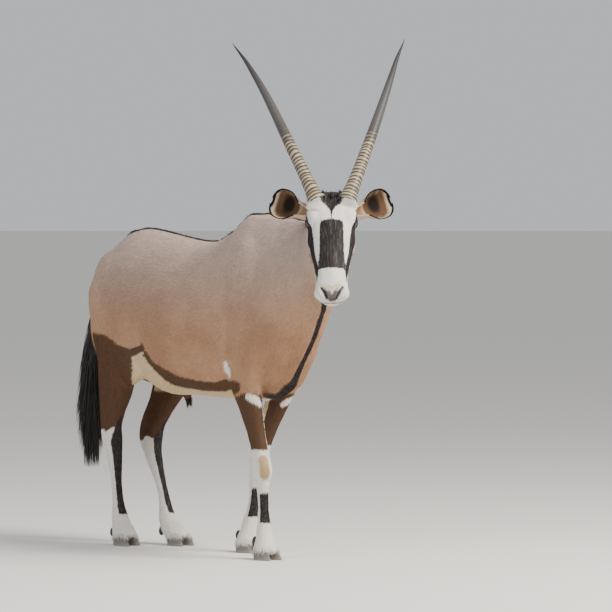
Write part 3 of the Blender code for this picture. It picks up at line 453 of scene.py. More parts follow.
def with_lids(points, place):
    """Lays the skin over the eye and opens it between the lids."""
    near = seen_from(place, points)
    a, b, c = near.T
    around = np.hypot(a, b)
    close = (around < 0.040) & (c > 0)
    reach = almond_reach(a, b)
    over = EYE_RADIUS + LID_THICKNESS * (0.45 + 0.55 * step_up(reach, 1.0, 2.2))
    lid = np.sqrt(np.maximum(over**2 - around**2, 0))
    crease = 0.0016 * np.exp(-(((np.sqrt(reach) - 1.75) / 0.16) ** 2)) * (b > -0.002)
    lid_share = 1 - step_up(around, 0.0175, 0.0235)
    raised = np.maximum(c, lid) * lid_share + c * (1 - lid_share)
    c = np.where(close, raised - crease, c)
    behind = np.sqrt(np.maximum((EYE_RADIUS - 0.004) ** 2 - around**2, 0))
    margin = np.sqrt(np.maximum((EYE_RADIUS + 0.0002) ** 2 - around**2, 0))
    inside = close & (reach < 0.86)
    edge = close & (reach >= 0.86) & (reach < 1.0)
    c = np.where(inside, behind, np.where(edge, margin, c))
    return put_from(place, np.stack((a, b, c), 1))


coords = coords_of(skin)
for place in eye_places.values():
    coords = with_lids(coords, place)
print("the lids take", moved_count(skin, coords), "vertices")
move_to(skin, coords)

# %% Domes of skin under the horns, and the chest's keel
HORN_FOOT = (0.0, 0.0550, -0.012)
HORN_WAYS = {"left": (-0.73, 0.186, -0.087), "right": (-0.73, -0.290, -0.080)}
DOME_RADIUS = 0.0325
DOME_TOP = -0.015  # where a dome ends, along the horn from its foot
DOME_LENGTH = 0.050
BRISKET_DROP = 0.016


def with_horn_domes(points):
    """Pushes the skin out to a dome over the lower end of each horn."""
    for name, side in SIDES.items():
        foot = np.array(head_place @ Vector((HORN_FOOT[0], HORN_FOOT[1] * side, HORN_FOOT[2])))
        ahead = np.array(turned(head_place, HORN_WAYS[name]))
        along = (points - foot) @ ahead
        beside = points - foot - along[:, None] * ahead
        distance = np.linalg.norm(beside, axis=1)
        down = np.clip((DOME_TOP - along) / DOME_LENGTH, 0, 1)
        dome = DOME_RADIUS * (1 - down**2) ** 0.75
        dome *= 1 - step_up(along, DOME_TOP - 0.004, DOME_TOP + 0.006)
        short = np.maximum(dome - distance, 0) * (distance > 0.004)
        points = points + beside / np.maximum(distance, 0.004)[:, None] * short[:, None]
    return points


def with_brisket(points):
    """Lets the chest's keel hang a little lower between the forelegs."""
    own = seen_from(body_place, points)
    share = step_up(own[:, 0], 0.20, 0.36) * (1 - step_up(own[:, 0], 0.44, 0.54))
    share *= (1 - step_up(np.abs(own[:, 1]), 0.030, 0.120)) * (1 - step_up(own[:, 2], 0.60, 0.68))
    own[:, 2] -= BRISKET_DROP * share
    return put_from(body_place, own)


domed = with_horn_domes(with_brisket(coords_of(skin)))
print("the domes and the keel move", moved_count(skin, domed), "vertices")

# %% A broader brow, and a lighter chin
BROW_WIDENED = 0.12
CHIN_RAISED = 0.009
CHIN_NARROWED = 0.24
LIPS_WIDENED = 0.035
on_face = face_share(coords_of(skin))
near = seen_from(head_place, domed)
low_chin = step_up(near[:, 0], 0.300, 0.345) * step_up(-near[:, 2], 0.062, 0.100)
low_chin *= on_face > 0.5
near[:, 2] += CHIN_RAISED * low_chin
brow = np.exp(-(((near[:, 0] - 0.034) / 0.030) ** 2)) * step_up(near[:, 2], -0.090, -0.050)
brow *= step_up(np.abs(near[:, 1]), 0.030, 0.075) * on_face
near[:, 1] *= 1 + BROW_WIDENED * brow
toward_chin = near[:, 0] - 0.75 * near[:, 2]
narrower = CHIN_NARROWED * step_up(toward_chin, 0.412, 0.452)
narrower -= LIPS_WIDENED * np.exp(-(((toward_chin - 0.400) / 0.016) ** 2))
on_muzzle = step_up(near[:, 0], 0.300, 0.345) * (on_face > 0.5)
near[:, 1] *= 1 - narrower * on_muzzle
coords = put_from(head_place, near)
by_the_horns = np.linalg.norm(near - (0.02, 0, -0.01), axis=1) < 0.11
close = near_features(coords, 0.30, 0.0) | by_the_horns
coords = relax(coords, edges_of(skin), close * 0.6, 2)
join = np.exp(-(((near[:, 0] - 0.044) / 0.022) ** 2)) * step_up(near[:, 2], -0.036, -0.014)
move_to(skin, relax(coords, edges_of(skin), join * face_share(coords) * 0.9, 14))
near = seen_from(head_place, coords_of(skin)[on_face > 0.5])
print("the head is", round(np.ptp(near[:, 1]), 3), "m wide at its widest")

# %% Distances to lines drawn on the animal
def along_line(points, line):
    """Each point's distance to a line of straight pieces, and where along it, from 0 to 1."""
    line = np.array(line, float)
    best = np.full(len(points), 1e9)
    where = np.zeros(len(points))
    for number, (start, end) in enumerate(zip(line, line[1:])):
        way = end - start
        share = np.clip((points - start) @ way / (way @ way), 0, 1)
        distance = np.linalg.norm(points - start - share[:, None] * way, axis=1)
        closer = distance < best
        best = np.where(closer, distance, best)
        where = np.where(closer, (number + share) / (len(line) - 1), where)
    return best, where


def mirrored(points):
    """Points with y turned positive, so that one line serves both sides."""
    return points * (1, 0, 1) + np.abs(points) * (0, 1, 0)


# %% The nostrils and the mouth
NOSTRIL_LINE = (
    (0.351, 0.0365, -0.034),
    (0.360, 0.0345, -0.030),
    (0.371, 0.0295, -0.031),
    (0.381, 0.0225, -0.037),
    (0.388, 0.0160, -0.045),
)
NOSTRIL_WAY = np.array((-0.55, -0.35, -0.62))
NOSTRIL_DEPTH = 0.0085
MOUTH_LEVEL = (0.320, -0.084, 0.396, -0.064)
# Rolls along the mouth: how high, how far above the line between the lips, and how wide.
LIP_ROLLS = ((-0.0042, 0.0, 0.0020), (0.0016, 0.0065, 0.0045), (-0.0016, -0.0100, 0.0055),
             (0.0014, -0.0040, 0.0022))


def mouth_gap(near):
    """The height above the line between the lips, and how far the mouth is open there."""
    share = (near[:, 0] - MOUTH_LEVEL[0]) / (MOUTH_LEVEL[2] - MOUTH_LEVEL[0])
    level = MOUTH_LEVEL[1] + (MOUTH_LEVEL[3] - MOUTH_LEVEL[1]) * share
    return near[:, 2] - level, step_up(near[:, 0], 0.308, 0.330)


near = seen_from(head_place, coords_of(skin))
normals = normals_of(skin) @ np.array(head_place)[:3, :3]
gap, mouth = mouth_gap(near)
on_front = face_share(coords_of(skin)) > 0.5
lift = np.zeros(len(near))
for high, middle, wide in LIP_ROLLS:
    lift += high * np.exp(-(((gap - middle) / wide) ** 2)) * mouth
near = near + normals * (lift * on_front)[:, None]
distance, where = along_line(mirrored(near), NOSTRIL_LINE)
width = 0.0024 + 0.0034 * np.sin(math.pi * np.clip(where * 0.85 + 0.12, 0, 1))
hollow = NOSTRIL_DEPTH * np.exp(-((distance / width) ** 2)) * (width / 0.0058)
rim = 0.0014 * np.exp(-(((distance - 2.1 * width) / (0.8 * width)) ** 2))
inward = np.where(near[:, 1:2] < 0, NOSTRIL_WAY * (1, -1, 1), NOSTRIL_WAY)
near = near + inward * hollow[:, None] + normals * rim[:, None]
coords = put_from(head_place, near)
print("nostrils and mouth take", moved_count(skin, coords), "vertices")
move_to(skin, coords)
only(skin)
bpy.ops.object.shade_smooth()

# %% [markdown]
# ### Folds and muscles
# Skin that is only smooth looks blown up. A few creases and edges of muscle are pressed in: the
# back edge of the shoulder, the fold behind the elbow, wrinkles where the neck turns to the
# head, the tendons above the hocks and the grooves down the cannons. The back is drawn up to a
# ridge on croup and withers. A line down the middle of each leg tells how far round the leg a
# point lies, and serves the markings too.

# %% Lines down the legs
LEG_LINES = {
    "foreleg_right": ((0.365, -0.124, 0.650), (0.385, -0.112, 0.540), (0.400, -0.098, 0.440),
                      (0.410, -0.089, 0.370), (0.413, -0.085, 0.320), (0.413, -0.082, 0.270),
                      (0.415, -0.080, 0.200), (0.419, -0.079, 0.145), (0.424, -0.079, 0.075)),
    "foreleg_left": ((0.300, 0.124, 0.645), (0.258, 0.112, 0.535), (0.219, 0.098, 0.435),
                     (0.196, 0.090, 0.367), (0.184, 0.086, 0.318), (0.176, 0.083, 0.268),
                     (0.168, 0.080, 0.198), (0.160, 0.078, 0.143), (0.146, 0.075, 0.075)),
    "hindleg_right": ((-0.362, -0.134, 0.690), (-0.360, -0.134, 0.590), (-0.390, -0.122, 0.505),
                      (-0.413, -0.110, 0.440), (-0.422, -0.102, 0.385), (-0.418, -0.096, 0.325),
                      (-0.413, -0.090, 0.225), (-0.410, -0.084, 0.150), (-0.396, -0.078, 0.075)),
    "hindleg_left": ((-0.368, 0.134, 0.690), (-0.382, 0.134, 0.590), (-0.412, 0.122, 0.505),
                     (-0.438, 0.110, 0.435), (-0.446, 0.102, 0.385), (-0.432, 0.097, 0.325),
                     (-0.382, 0.090, 0.221), (-0.350, 0.084, 0.152), (-0.300, 0.078, 0.080)),
}


def leg_turn(own, leg):
    """How far round a leg a point lies, in degrees from the front, outwards above 0."""
    rows = np.array(LEG_LINES[leg])
    order = np.argsort(rows[:, 2])
    x = np.interp(own[:, 2], rows[order, 2], rows[order, 0])
    y = np.interp(own[:, 2], rows[order, 2], rows[order, 1])
    outward = 1 if leg.endswith("left") else -1
    return np.degrees(np.arctan2((own[:, 1] - y) * outward, own[:, 0] - x))


# %% Creases along lines
CREASES = (
    # the line, how deep, how wide, and -1 where only the right side has it
    (((0.265, 0.170, 1.030), (0.298, 0.190, 0.950), (0.312, 0.195, 0.860), (0.316, 0.190, 0.760),
      (0.314, 0.180, 0.700)), 0.0065, 0.026, 0),
    (((0.060, 0.190, 1.040), (0.100, 0.205, 0.920), (0.120, 0.210, 0.800), (0.110, 0.190, 0.680)),
     0.0030, 0.045, 0),
    (((0.300, 0.182, 0.705), (0.318, 0.175, 0.680), (0.340, 0.168, 0.652)), 0.0060, 0.011, 0),
    (((0.420, 0.110, 1.050), (0.430, 0.130, 0.940), (0.440, 0.130, 0.840), (0.450, 0.110, 0.730)),
     0.0034, 0.045, 0),
    (((-0.120, 0.205, 0.780), (-0.165, 0.205, 0.820), (-0.220, 0.195, 0.880)), 0.0040, 0.034, 0),
    (((-0.470, 0.130, 1.000), (-0.500, 0.130, 0.900), (-0.490, 0.140, 0.790)), 0.0036, 0.036, 0),
    (((0.655, -0.120, 1.150), (0.675, -0.128, 1.080), (0.690, -0.120, 1.010)), 0.0035, 0.011, -1),
    (((0.620, -0.105, 1.165), (0.640, -0.120, 1.100), (0.655, -0.118, 1.040)), 0.0028, 0.012, -1),
    (((0.700, -0.110, 1.190), (0.722, -0.140, 1.150), (0.730, -0.150, 1.100)), 0.0032, 0.010, -1),
)


def creased(points, normals):
    """Presses each crease in, deepest at its middle, with a low rise on either side."""
    own = seen_from(body_place, points)
    depth = np.zeros(len(points))
    for line, deep, wide, only_side in CREASES:
        around = own if only_side else mirrored(own)
        distance, where = along_line(around, line)
        taper = np.sin(math.pi * np.clip(where * 0.94 + 0.03, 0, 1)) ** 0.6
        across = distance / wide
        depth += deep * taper * (np.exp(-(across**2)) - 0.45 * np.exp(-((across - 1.9) ** 2)))
    return points - normals * (depth * (1 - face_share(points)))[:, None]


# %% Tendons and cannon bones
CANNON_GROOVE = 0.0022
HOCK_HOLLOW = 0.0060


def with_tendons(points, normals):
    """The hollow in front of each hock's tendon, and the grooves beside the cannon bones."""
    own = seen_from(body_place, points)
    depth = np.zeros(len(points))
    for leg in LEG_NAMES:
        side = 1 if leg.endswith("left") else -1
        turn = leg_turn(own, leg)
        mine = (own[:, 1] * side > 0) & ((own[:, 0] > 0) == leg.startswith("fore"))
        z = own[:, 2]
        groove = np.exp(-(((np.abs(turn) - 112) / 20) ** 2))
        cannon = step_up(z, 0.130, 0.160) * (1 - step_up(z, 0.250, 0.290))
        depth += CANNON_GROOVE * groove * cannon * mine
        if leg.startswith("hind"):
            above_hock = step_up(z, 0.400, 0.430) * (1 - step_up(z, 0.500, 0.540))
            depth += HOCK_HOLLOW * groove * above_hock * mine
    return points - normals * depth[:, None]


# %% The ridge of the back, and the tail's root
CROUP_RISE = (0.012, 0.007)  # how far the ridge is raised, and sunk on either side of it
WITHERS_RISE = (0.015, 0.004)
TAIL_DRAWN = 0.016
CORNER_DRAWN = 0.012
TAIL_ROOT = (-0.575, -0.008, 1.040)
TAIL_REACH = (0.05, 0.07, 0.05)


def with_crest(points):
    """Draws the back up to a ridge on croup and withers, and the tail's root in."""
    x, y, z = seen_from(body_place, points).T
    croup = step_up(x, -0.620, -0.500) * (1 - step_up(x, -0.430, -0.360)) * step_up(z, 0.95, 1.02)
    withers = step_up(x, 0.080, 0.150) * (1 - step_up(x, 0.230, 0.300)) * step_up(z, 1.03, 1.08)
    ridge = np.exp(-((y / 0.026) ** 2))
    beside = np.exp(-(((np.abs(y) - 0.070) / 0.030) ** 2))
    rise = croup * (CROUP_RISE[0] * ridge - CROUP_RISE[1] * beside)
    rise = rise + withers * (WITHERS_RISE[0] * ridge - WITHERS_RISE[1] * beside)
    tail_root = step_up(-x, 0.470, 0.620) * step_up(z, 0.88, 1.00) * np.exp(-((y / 0.085) ** 2))
    corner = step_up(-x, 0.440, 0.560) * step_up(z, 0.92, 1.01) * np.exp(-((y / 0.180) ** 4))
    drawn = TAIL_DRAWN * tail_root + CORNER_DRAWN * corner
    points = points + rise[:, None] * (0, 0, 1)
    return points + drawn[:, None] * (1, 0, -1)


smooth = relax(coords_of(skin), edges_of(skin), 0.5 * (1 - face_share(coords_of(skin))), 2)
smooth = with_crest(smooth)
from_tail = (seen_from(body_place, smooth) - TAIL_ROOT) / TAIL_REACH
from_tail = np.linalg.norm(from_tail, axis=1)
smooth = relax(smooth, edges_of(skin), 0.95 * (1 - step_up(from_tail, 0.4, 1.2)), 24)
coords = with_tendons(creased(smooth, normals_of(skin)), normals_of(skin))
print("folds and ridges move", moved_count(skin, coords), "vertices")
move_to(skin, coords)

# %% [markdown]
# ## The markings
# A gemsbok's pattern is bold: a black forehead patch and blaze, black stripes through the eyes,
# a white face and muzzle, a dark line down the throat, a dark band low on each flank, dark
# thighs and forearms, and white stockings with a dark mark down the front. Each marking is drawn
# as lines and bands on the body, and every point of the skin keeps its distance, in metres, to
# the edge of each: above 0 inside the marking. A finish turns that distance into an edge as
# crisp as it wants, and the tufts of the coat keep the same numbers at their roots.

# %% Bands along lines
def band(points, line, widths):
    """How far inside a band points lie, for a band of changing half width along a line."""
    distance, where = along_line(points, line)
    stops = np.linspace(0, 1, len(widths))
    return np.interp(where, stops, widths) - distance


def both(first, *others):
    """Inside all of several shapes."""
    for other in others:
        first = np.minimum(first, other)
    return first


def either(first, *others):
    """Inside any of several shapes."""
    for other in others:
        first = np.maximum(first, other)
    return first


# %% Black on the face
FOREHEAD = ((-0.075, 0.030), (-0.040, 0.046), (-0.010, 0.056), (0.006, 0.056), (0.014, 0.045),
            (0.022, 0.036), (0.031, 0.027), (0.040, 0.016), (0.048, 0.0095), (0.060, 0.0050),
            (0.074, 0.0022), (0.098, 0.0016))
BLAZE = ((0.092, 0.0), (0.096, 0.028), (0.103, 0.037), (0.115, 0.0405), (0.220, 0.0420),
         (0.262, 0.0450), (0.283, 0.0475), (0.287, 0.0440), (0.292, 0.0))
EYE_STRIPE = ((-0.016, 0.085, -0.020), (0.020, 0.090, -0.020), (0.045, 0.089, -0.028),
              (0.066, 0.083, -0.040), (0.108, 0.080, -0.048), (0.159, 0.070, -0.048),
              (0.220, 0.063, -0.048), (0.262, 0.056, -0.042), (0.292, 0.053, -0.037),
              (0.325, 0.050, -0.041))
EYE_STRIPE_WIDTHS = (0.006, 0.008, 0.010, 0.020, 0.030, 0.028, 0.020, 0.017, 0.012, 0.003)
JAW_STRIPE = ((0.296, 0.049, -0.052), (0.250, 0.058, -0.074), (0.205, 0.066, -0.094),
              (0.160, 0.070, -0.108), (0.135, 0.062, -0.150), (0.110, 0.045, -0.175),
              (0.095, 0.020, -0.185))
JAW_STRIPE_WIDTHS = (0.004, 0.005, 0.005, 0.003, 0.010, 0.015, 0.020)
LID_RIM = 0.0065


def patch(near, outline, thickness=0.045):
    """Inside a shape on the front of the face: half widths at places down from the poll."""
    downs, halves = np.array(outline).T
    half = np.interp(near[:, 0], downs, halves)
    ends = np.minimum(near[:, 0] - downs[0], downs[-1] - near[:, 0])
    level = np.interp(near[:, 0], (-0.04, 0.10, 0.30, 0.40), (-0.035, -0.02, -0.03, -0.06))
    return both(half - np.abs(near[:, 1]), ends, near[:, 2] - level + thickness / 2)


def black_of(near, head):
    """The black of forehead and blaze, of the stripes on eye and jaw, and of the lids' rims."""
    face = either(patch(near, FOREHEAD), patch(near, BLAZE))
    right = mirrored(near)
    face = either(face, band(right, EYE_STRIPE, EYE_STRIPE_WIDTHS))
    face = either(face, band(right, JAW_STRIPE, JAW_STRIPE_WIDTHS))
    for place in eye_places.values():
        a, b, c = seen_from(place, put_from(head_place, near)).T
        rim = (1.45 - np.sqrt(almond_reach(a, b))) * LID_RIM
        face = either(face, np.where((c > 0) & (np.hypot(a, b) < 0.04), rim, -0.1))
    return np.where(head > 0.3, face, -0.1)


# %% Dark lines and bands on the body
SPINE = ((-0.662, -0.014, 0.800), (-0.640, -0.008, 0.900), (-0.586, 0.0, 0.972),
         (-0.528, 0.0, 1.062), (-0.440, 0.0, 1.135), (-0.330, 0.0, 1.155), (-0.100, 0.0, 1.125),
         (0.060, 0.0, 1.120), (0.260, 0.0, 1.215), (0.400, 0.0, 1.215), (0.600, -0.026, 1.190),
         (0.700, -0.066, 1.200), (0.765, -0.095, 1.235))
SPINE_WIDTHS = (0.014, 0.012, 0.010, 0.010, 0.020, 0.014, 0.009, 0.008, 0.015, 0.015, 0.010,
                0.009, 0.010)
THROAT = ((0.745, -0.075, 1.010), (0.690, -0.034, 0.935), (0.650, 0.003, 0.881),
          (0.594, 0.011, 0.790), (0.540, 0.012, 0.709), (0.483, 0.013, 0.638),
          (0.448, 0.010, 0.600))
THROAT_WIDTHS = (0.017, 0.014, 0.0130, 0.0125, 0.0125, 0.016, 0.027)
BRISKET = ((0.455, 0.000, 0.598), (0.429, 0.000, 0.577), (0.402, 0.012, 0.560),
           (0.402, 0.050, 0.556), (0.417, 0.088, 0.558), (0.424, 0.115, 0.561),
           (0.419, 0.143, 0.568), (0.386, 0.161, 0.576))
BRISKET_WIDTHS = (0.028, 0.030, 0.030, 0.028, 0.024, 0.020, 0.015, 0.008)
KEEL_WIDTHS = (0.020, 0.022, 0.021, 0.018, 0.012)  # the black along the first half of that line
FLANK = ((-0.105, 0.213, 0.752), (-0.102, 0.208, 0.726), (-0.095, 0.197, 0.693),
         (-0.076, 0.185, 0.664), (-0.047, 0.176, 0.645), (-0.008, 0.161, 0.623),
         (0.031, 0.147, 0.608), (0.125, 0.131, 0.597), (0.218, 0.115, 0.596),
         (0.260, 0.128, 0.597), (0.300, 0.148, 0.600), (0.370, 0.167, 0.607))
FLANK_WIDTHS = (0.003, 0.012, 0.017, 0.020, 0.028, 0.035, 0.036, 0.031, 0.026, 0.030, 0.030,
                0.020)

# %% Marks on the forelegs
DEGREE = 0.0005  # metres that a degree round a leg is taken for
INNER_STRIPS = {"foreleg_right": (-116, -34), "foreleg_left": (-140, -96)}  # degrees round the leg
FOREARM_LOW = 0.386  # heights in metres, as the two below
FORE_CANNON = (0.130, 0.237)
FORE_WHITE = 0.45


def foreleg_marks(own, leg):
    """A foreleg's dark forearm, its black cannon mark, and the white of the rest."""
    x, y, z = own.T
    turn = leg_turn(own, leg)
    mine = both(np.where(y * (1 if leg.endswith("left") else -1) > 0, 0.1, -0.1), x - 0.05)
    rows = np.array(LEG_LINES[leg])[::-1]
    mine = both(mine, 0.575 - z, x - np.interp(z, rows[:, 2], rows[:, 0]) + 0.085)
    first, last = INNER_STRIPS[leg]
    strip = both((turn - first) * DEGREE, (last - turn) * DEGREE)
    forearm = both(z - FOREARM_LOW, -strip)
    lean = 0.00007 * np.abs(turn)
    low, high = FORE_CANNON
    cannon = both(high - z - lean, z - low, (88 - np.abs(turn - 4)) * DEGREE)
    white = FORE_WHITE + 0.11 * (strip > 0) - z
    return both(mine, forearm), both(mine, cannon), both(mine, white), np.full(len(own), -0.1)


# %% Marks on the hind legs
THIGH_TOP = ((-0.640, 0.800), (-0.500, 0.790), (-0.395, 0.776), (-0.345, 0.770), (-0.320, 0.757),
             (-0.276, 0.735), (-0.201, 0.722), (-0.143, 0.736), (-0.108, 0.752), (-0.096, 0.704),
             (-0.076, 0.676), (-0.047, 0.650), (-0.010, 0.626))
THIGH_FRONT = ((-0.307, 0.533), (-0.279, 0.571), (-0.250, 0.608), (-0.226, 0.663),
               (-0.208, 0.696), (-0.202, 0.718))
FOLD_STRIP = 0.026  # the dark strip that goes on to the flank, below the thigh's top edge
# The black down each cannon: its middle and half width in degrees, and the height of its top.
CANNON_STRIPES = {"hindleg_right": (0, 52, 0.430), "hindleg_left": (22, 58, 0.392)}
HIND_CANNON = (0.115, 0.48)


def hindleg_marks(own, leg):
    """A hind leg's dark thigh, black cannon stripe, white stocking and cream inner side."""
    x, y, z = own.T
    turn = leg_turn(own, leg)
    mine = both(np.where(y * (1 if leg.endswith("left") else -1) > 0, 0.1, -0.1), -0.02 - x)
    below_top = np.interp(x, *np.array(THIGH_TOP).T) - z
    places, heights = np.array(THIGH_FRONT).T
    behind_front = np.interp(z, heights, places) + 0.016 * (1 - step_up(z, 0.64, 0.70)) - x
    inner = both((50 - np.abs(turn + 88)) * DEGREE * 3, z - 0.560)
    middle, half, hock_top = CANNON_STRIPES[leg]
    hock_top = hock_top + 0.006 * np.sin(np.radians(turn * 3)) - 0.00008 * np.abs(turn)
    rear = either((154 - np.abs(turn)) * DEGREE * 3, 0.60 - z)
    front = either(behind_front, FOLD_STRIP - below_top)
    thigh = both(rear, below_top, z - hock_top, front, -inner)
    low, high = HIND_CANNON
    half = half * np.clip((high - z) / 0.10, 0, 1)
    cannon = both(high - z, z - low, (half - np.abs(turn - middle)) * DEGREE)
    fold = both(-behind_front, below_top - FOLD_STRIP)
    cream = both(either(inner, fold), 0.72 - z, z - 0.50)
    white = hock_top + 0.012 - z
    return both(mine, thigh), both(mine, cannon), both(mine, white), both(mine, cream)


# %% Patches on legs, face and nose
HEEL_PATCH = ((0.413, 0.148, 0.572), (0.426, 0.120, 0.560), (0.434, 0.098, 0.543))
LEFT_HEEL_PATCH = ((0.312, 0.148, 0.556), (0.312, 0.120, 0.546), (0.308, 0.098, 0.531))
HEEL_WIDTHS = (0.012, 0.016, 0.012)
ELBOW_PATCH = ((0.314, 0.178, 0.686), (0.326, 0.172, 0.668), (0.338, 0.170, 0.650))
ELBOW_WIDTHS = (0.015, 0.019, 0.012)
REAR_HEIGHTS = (0.56, 0.70, 0.85, 0.98)
REAR_EDGE = (-0.430, -0.515, -0.540, -0.575)  # how far back the haunch turns pale at each height
KNEE_PATCHES = {1: ((0.218, 0.086, 0.352), (0.208, 0.082, 0.300)),
                -1: ((0.437, -0.100, 0.352), (0.441, -0.094, 0.300))}
MUZZLE = ((0.02, 0, -0.045), (0.20, 0, -0.07), (0.38, 0, -0.07))
MUZZLE_WIDTHS = (0.10, 0.10, 0.09)
CHEEK = ((0.03, 0.06, -0.10), (0.09, 0.08, -0.115), (0.150, 0.080, -0.104),
         (0.205, 0.072, -0.100))
CHEEK_WIDTHS = (0.050, 0.048, 0.030, 0.010)
NOSE_PAD = ((0.362, 0.021, -0.030), (0.372, 0.016, -0.034), (0.382, 0.009, -0.041),
            (0.387, 0.000, -0.045))
NOSE_PAD_WIDTHS = (0.006, 0.011, 0.013, 0.013)
# Along the nostrils' rims. Bands along this line, pushed inward, carry the rims' black and painted
# shade inside the nostrils.
NOSE_RIM = (*NOSTRIL_LINE, (0.392, 0.008, -0.051), (0.393, 0.000, -0.053))
NOSE_RIM_WIDTHS = (0.0036, 0.0040, 0.0044, 0.0050, 0.0054, 0.0044, 0.0036)
NOSE_TINT = ((0.352, 0.024, -0.022), (0.364, 0.000, -0.022))
LIPS_DARK = 0.0022  # how far above and below the mouth's line the lips are dark

# %% All markings together
def markings(points):
    """Each marking's depth at points of the scene: above 0 inside it, below 0 outside."""
    own = seen_from(body_place, points)
    near = seen_from(head_place, points)
    right = mirrored(own)
    # The left foreleg stands further back, and the flank's stripe ends sooner on that side.
    set_back = 0.060 * step_up(own[:, 1], -0.02, 0.02) * step_up(own[:, 0], 0.05, 0.24)
    beside = right + set_back[:, None] * (1, 0, 0)
    head = face_share(points)
    legs = [(foreleg_marks if leg.startswith("fore") else hindleg_marks)(own, leg)
            for leg in LEG_NAMES]
    brown, cannons, white, inner = (either(*parts) for parts in zip(*legs))
    throat = band(own, THROAT, THROAT_WIDTHS)
    keel = band(right, BRISKET[:5], KEEL_WIDTHS)
    found = {"black": either(black_of(near, head), cannons, throat, keel)}
    lines = either(
        band(own, SPINE, SPINE_WIDTHS),
        band(right, BRISKET, BRISKET_WIDTHS),
        band(beside, FLANK, FLANK_WIDTHS),
    )
    tail_black = both(0.870 - own[:, 2], -0.605 - own[:, 0], 0.034 - np.abs(own[:, 1] + 0.012))
    patches = either(
        band(own * (1, -1, 1), HEEL_PATCH, HEEL_WIDTHS),
        band(own, LEFT_HEEL_PATCH, HEEL_WIDTHS),
    )
    sheath = both(0.566 - own[:, 2], 0.040 - np.hypot(own[:, 0] + 0.110, own[:, 1]))
    brown = both(either(brown, lines, tail_black, sheath), -patches)
    flank = np.array(FLANK)
    belly = np.interp(own[:, 0], flank[:, 0], flank[:, 2]) - own[:, 2]
    belly = both(belly, 0.160 - right[:, 1], own[:, 0] + 0.30, 0.27 - own[:, 0], own[:, 2] - 0.50)
    muzzle = band(near, MUZZLE, MUZZLE_WIDTHS)
    cheek = band(mirrored(near), CHEEK, CHEEK_WIDTHS)
    face = both(muzzle, near[:, 0] - 0.004 + 0.5 * np.abs(near[:, 1]), -cheek)
    elbow = band(right, ELBOW_PATCH, ELBOW_WIDTHS)
    found["brown"] = brown
    found["white"] = either(white, patches, elbow, np.where(head > 0.3, face, -0.1))
    found["cream"] = either(belly, inner)
    behind = np.interp(own[:, 2], REAR_HEIGHTS, REAR_EDGE) - own[:, 0]
    found["pale"] = both(behind, 0.98 - own[:, 2], own[:, 2] - 0.56)
    knees = [band(own, KNEE_PATCHES[side], (0.016, 0.018)) for side in (1, -1)]
    half_face = mirrored(near)
    found["tan"] = either(*knees)
    found["cream"] = either(found["cream"], band(half_face, NOSE_TINT, (0.010, 0.009)) - 0.004)
    gap, mouth = mouth_gap(near)
    lips = both(LIPS_DARK - np.abs(gap), (mouth - 0.5) * 0.01, np.where(head > 0.5, 0.1, -0.1))
    found["nose"] = either(lips, band(half_face, NOSE_PAD, NOSE_PAD_WIDTHS))
    # The nostrils' black: the rims' own dark skin, and bands further in that are painted shade
    # inside the nostrils.
    rim_and_inner_shade = (np.array(NOSE_RIM) + NOSTRIL_WAY * deep for deep in (0.0, 0.0035, 0.0070))
    found["rim"] = either(*(band(half_face, rim, NOSE_RIM_WIDTHS) for rim in rim_and_inner_shade))
    return found


# %% Markings kept on the skin
def keep_marks(piece, marks, times=1):
    """Writes the markings on a piece's vertices, each value as many times as asked."""
    for name, values in marks.items():
        layer = piece.data.attributes.new(name, "FLOAT", "POINT")
        layer.data.foreach_set("value", np.repeat(values, times).astype(np.float32))


skin_marks = markings(coords_of(skin))
keep_marks(skin, skin_marks)
for name, values in skin_marks.items():
    print(name, "covers", int((values > 0).sum()), "of the skin's vertices")
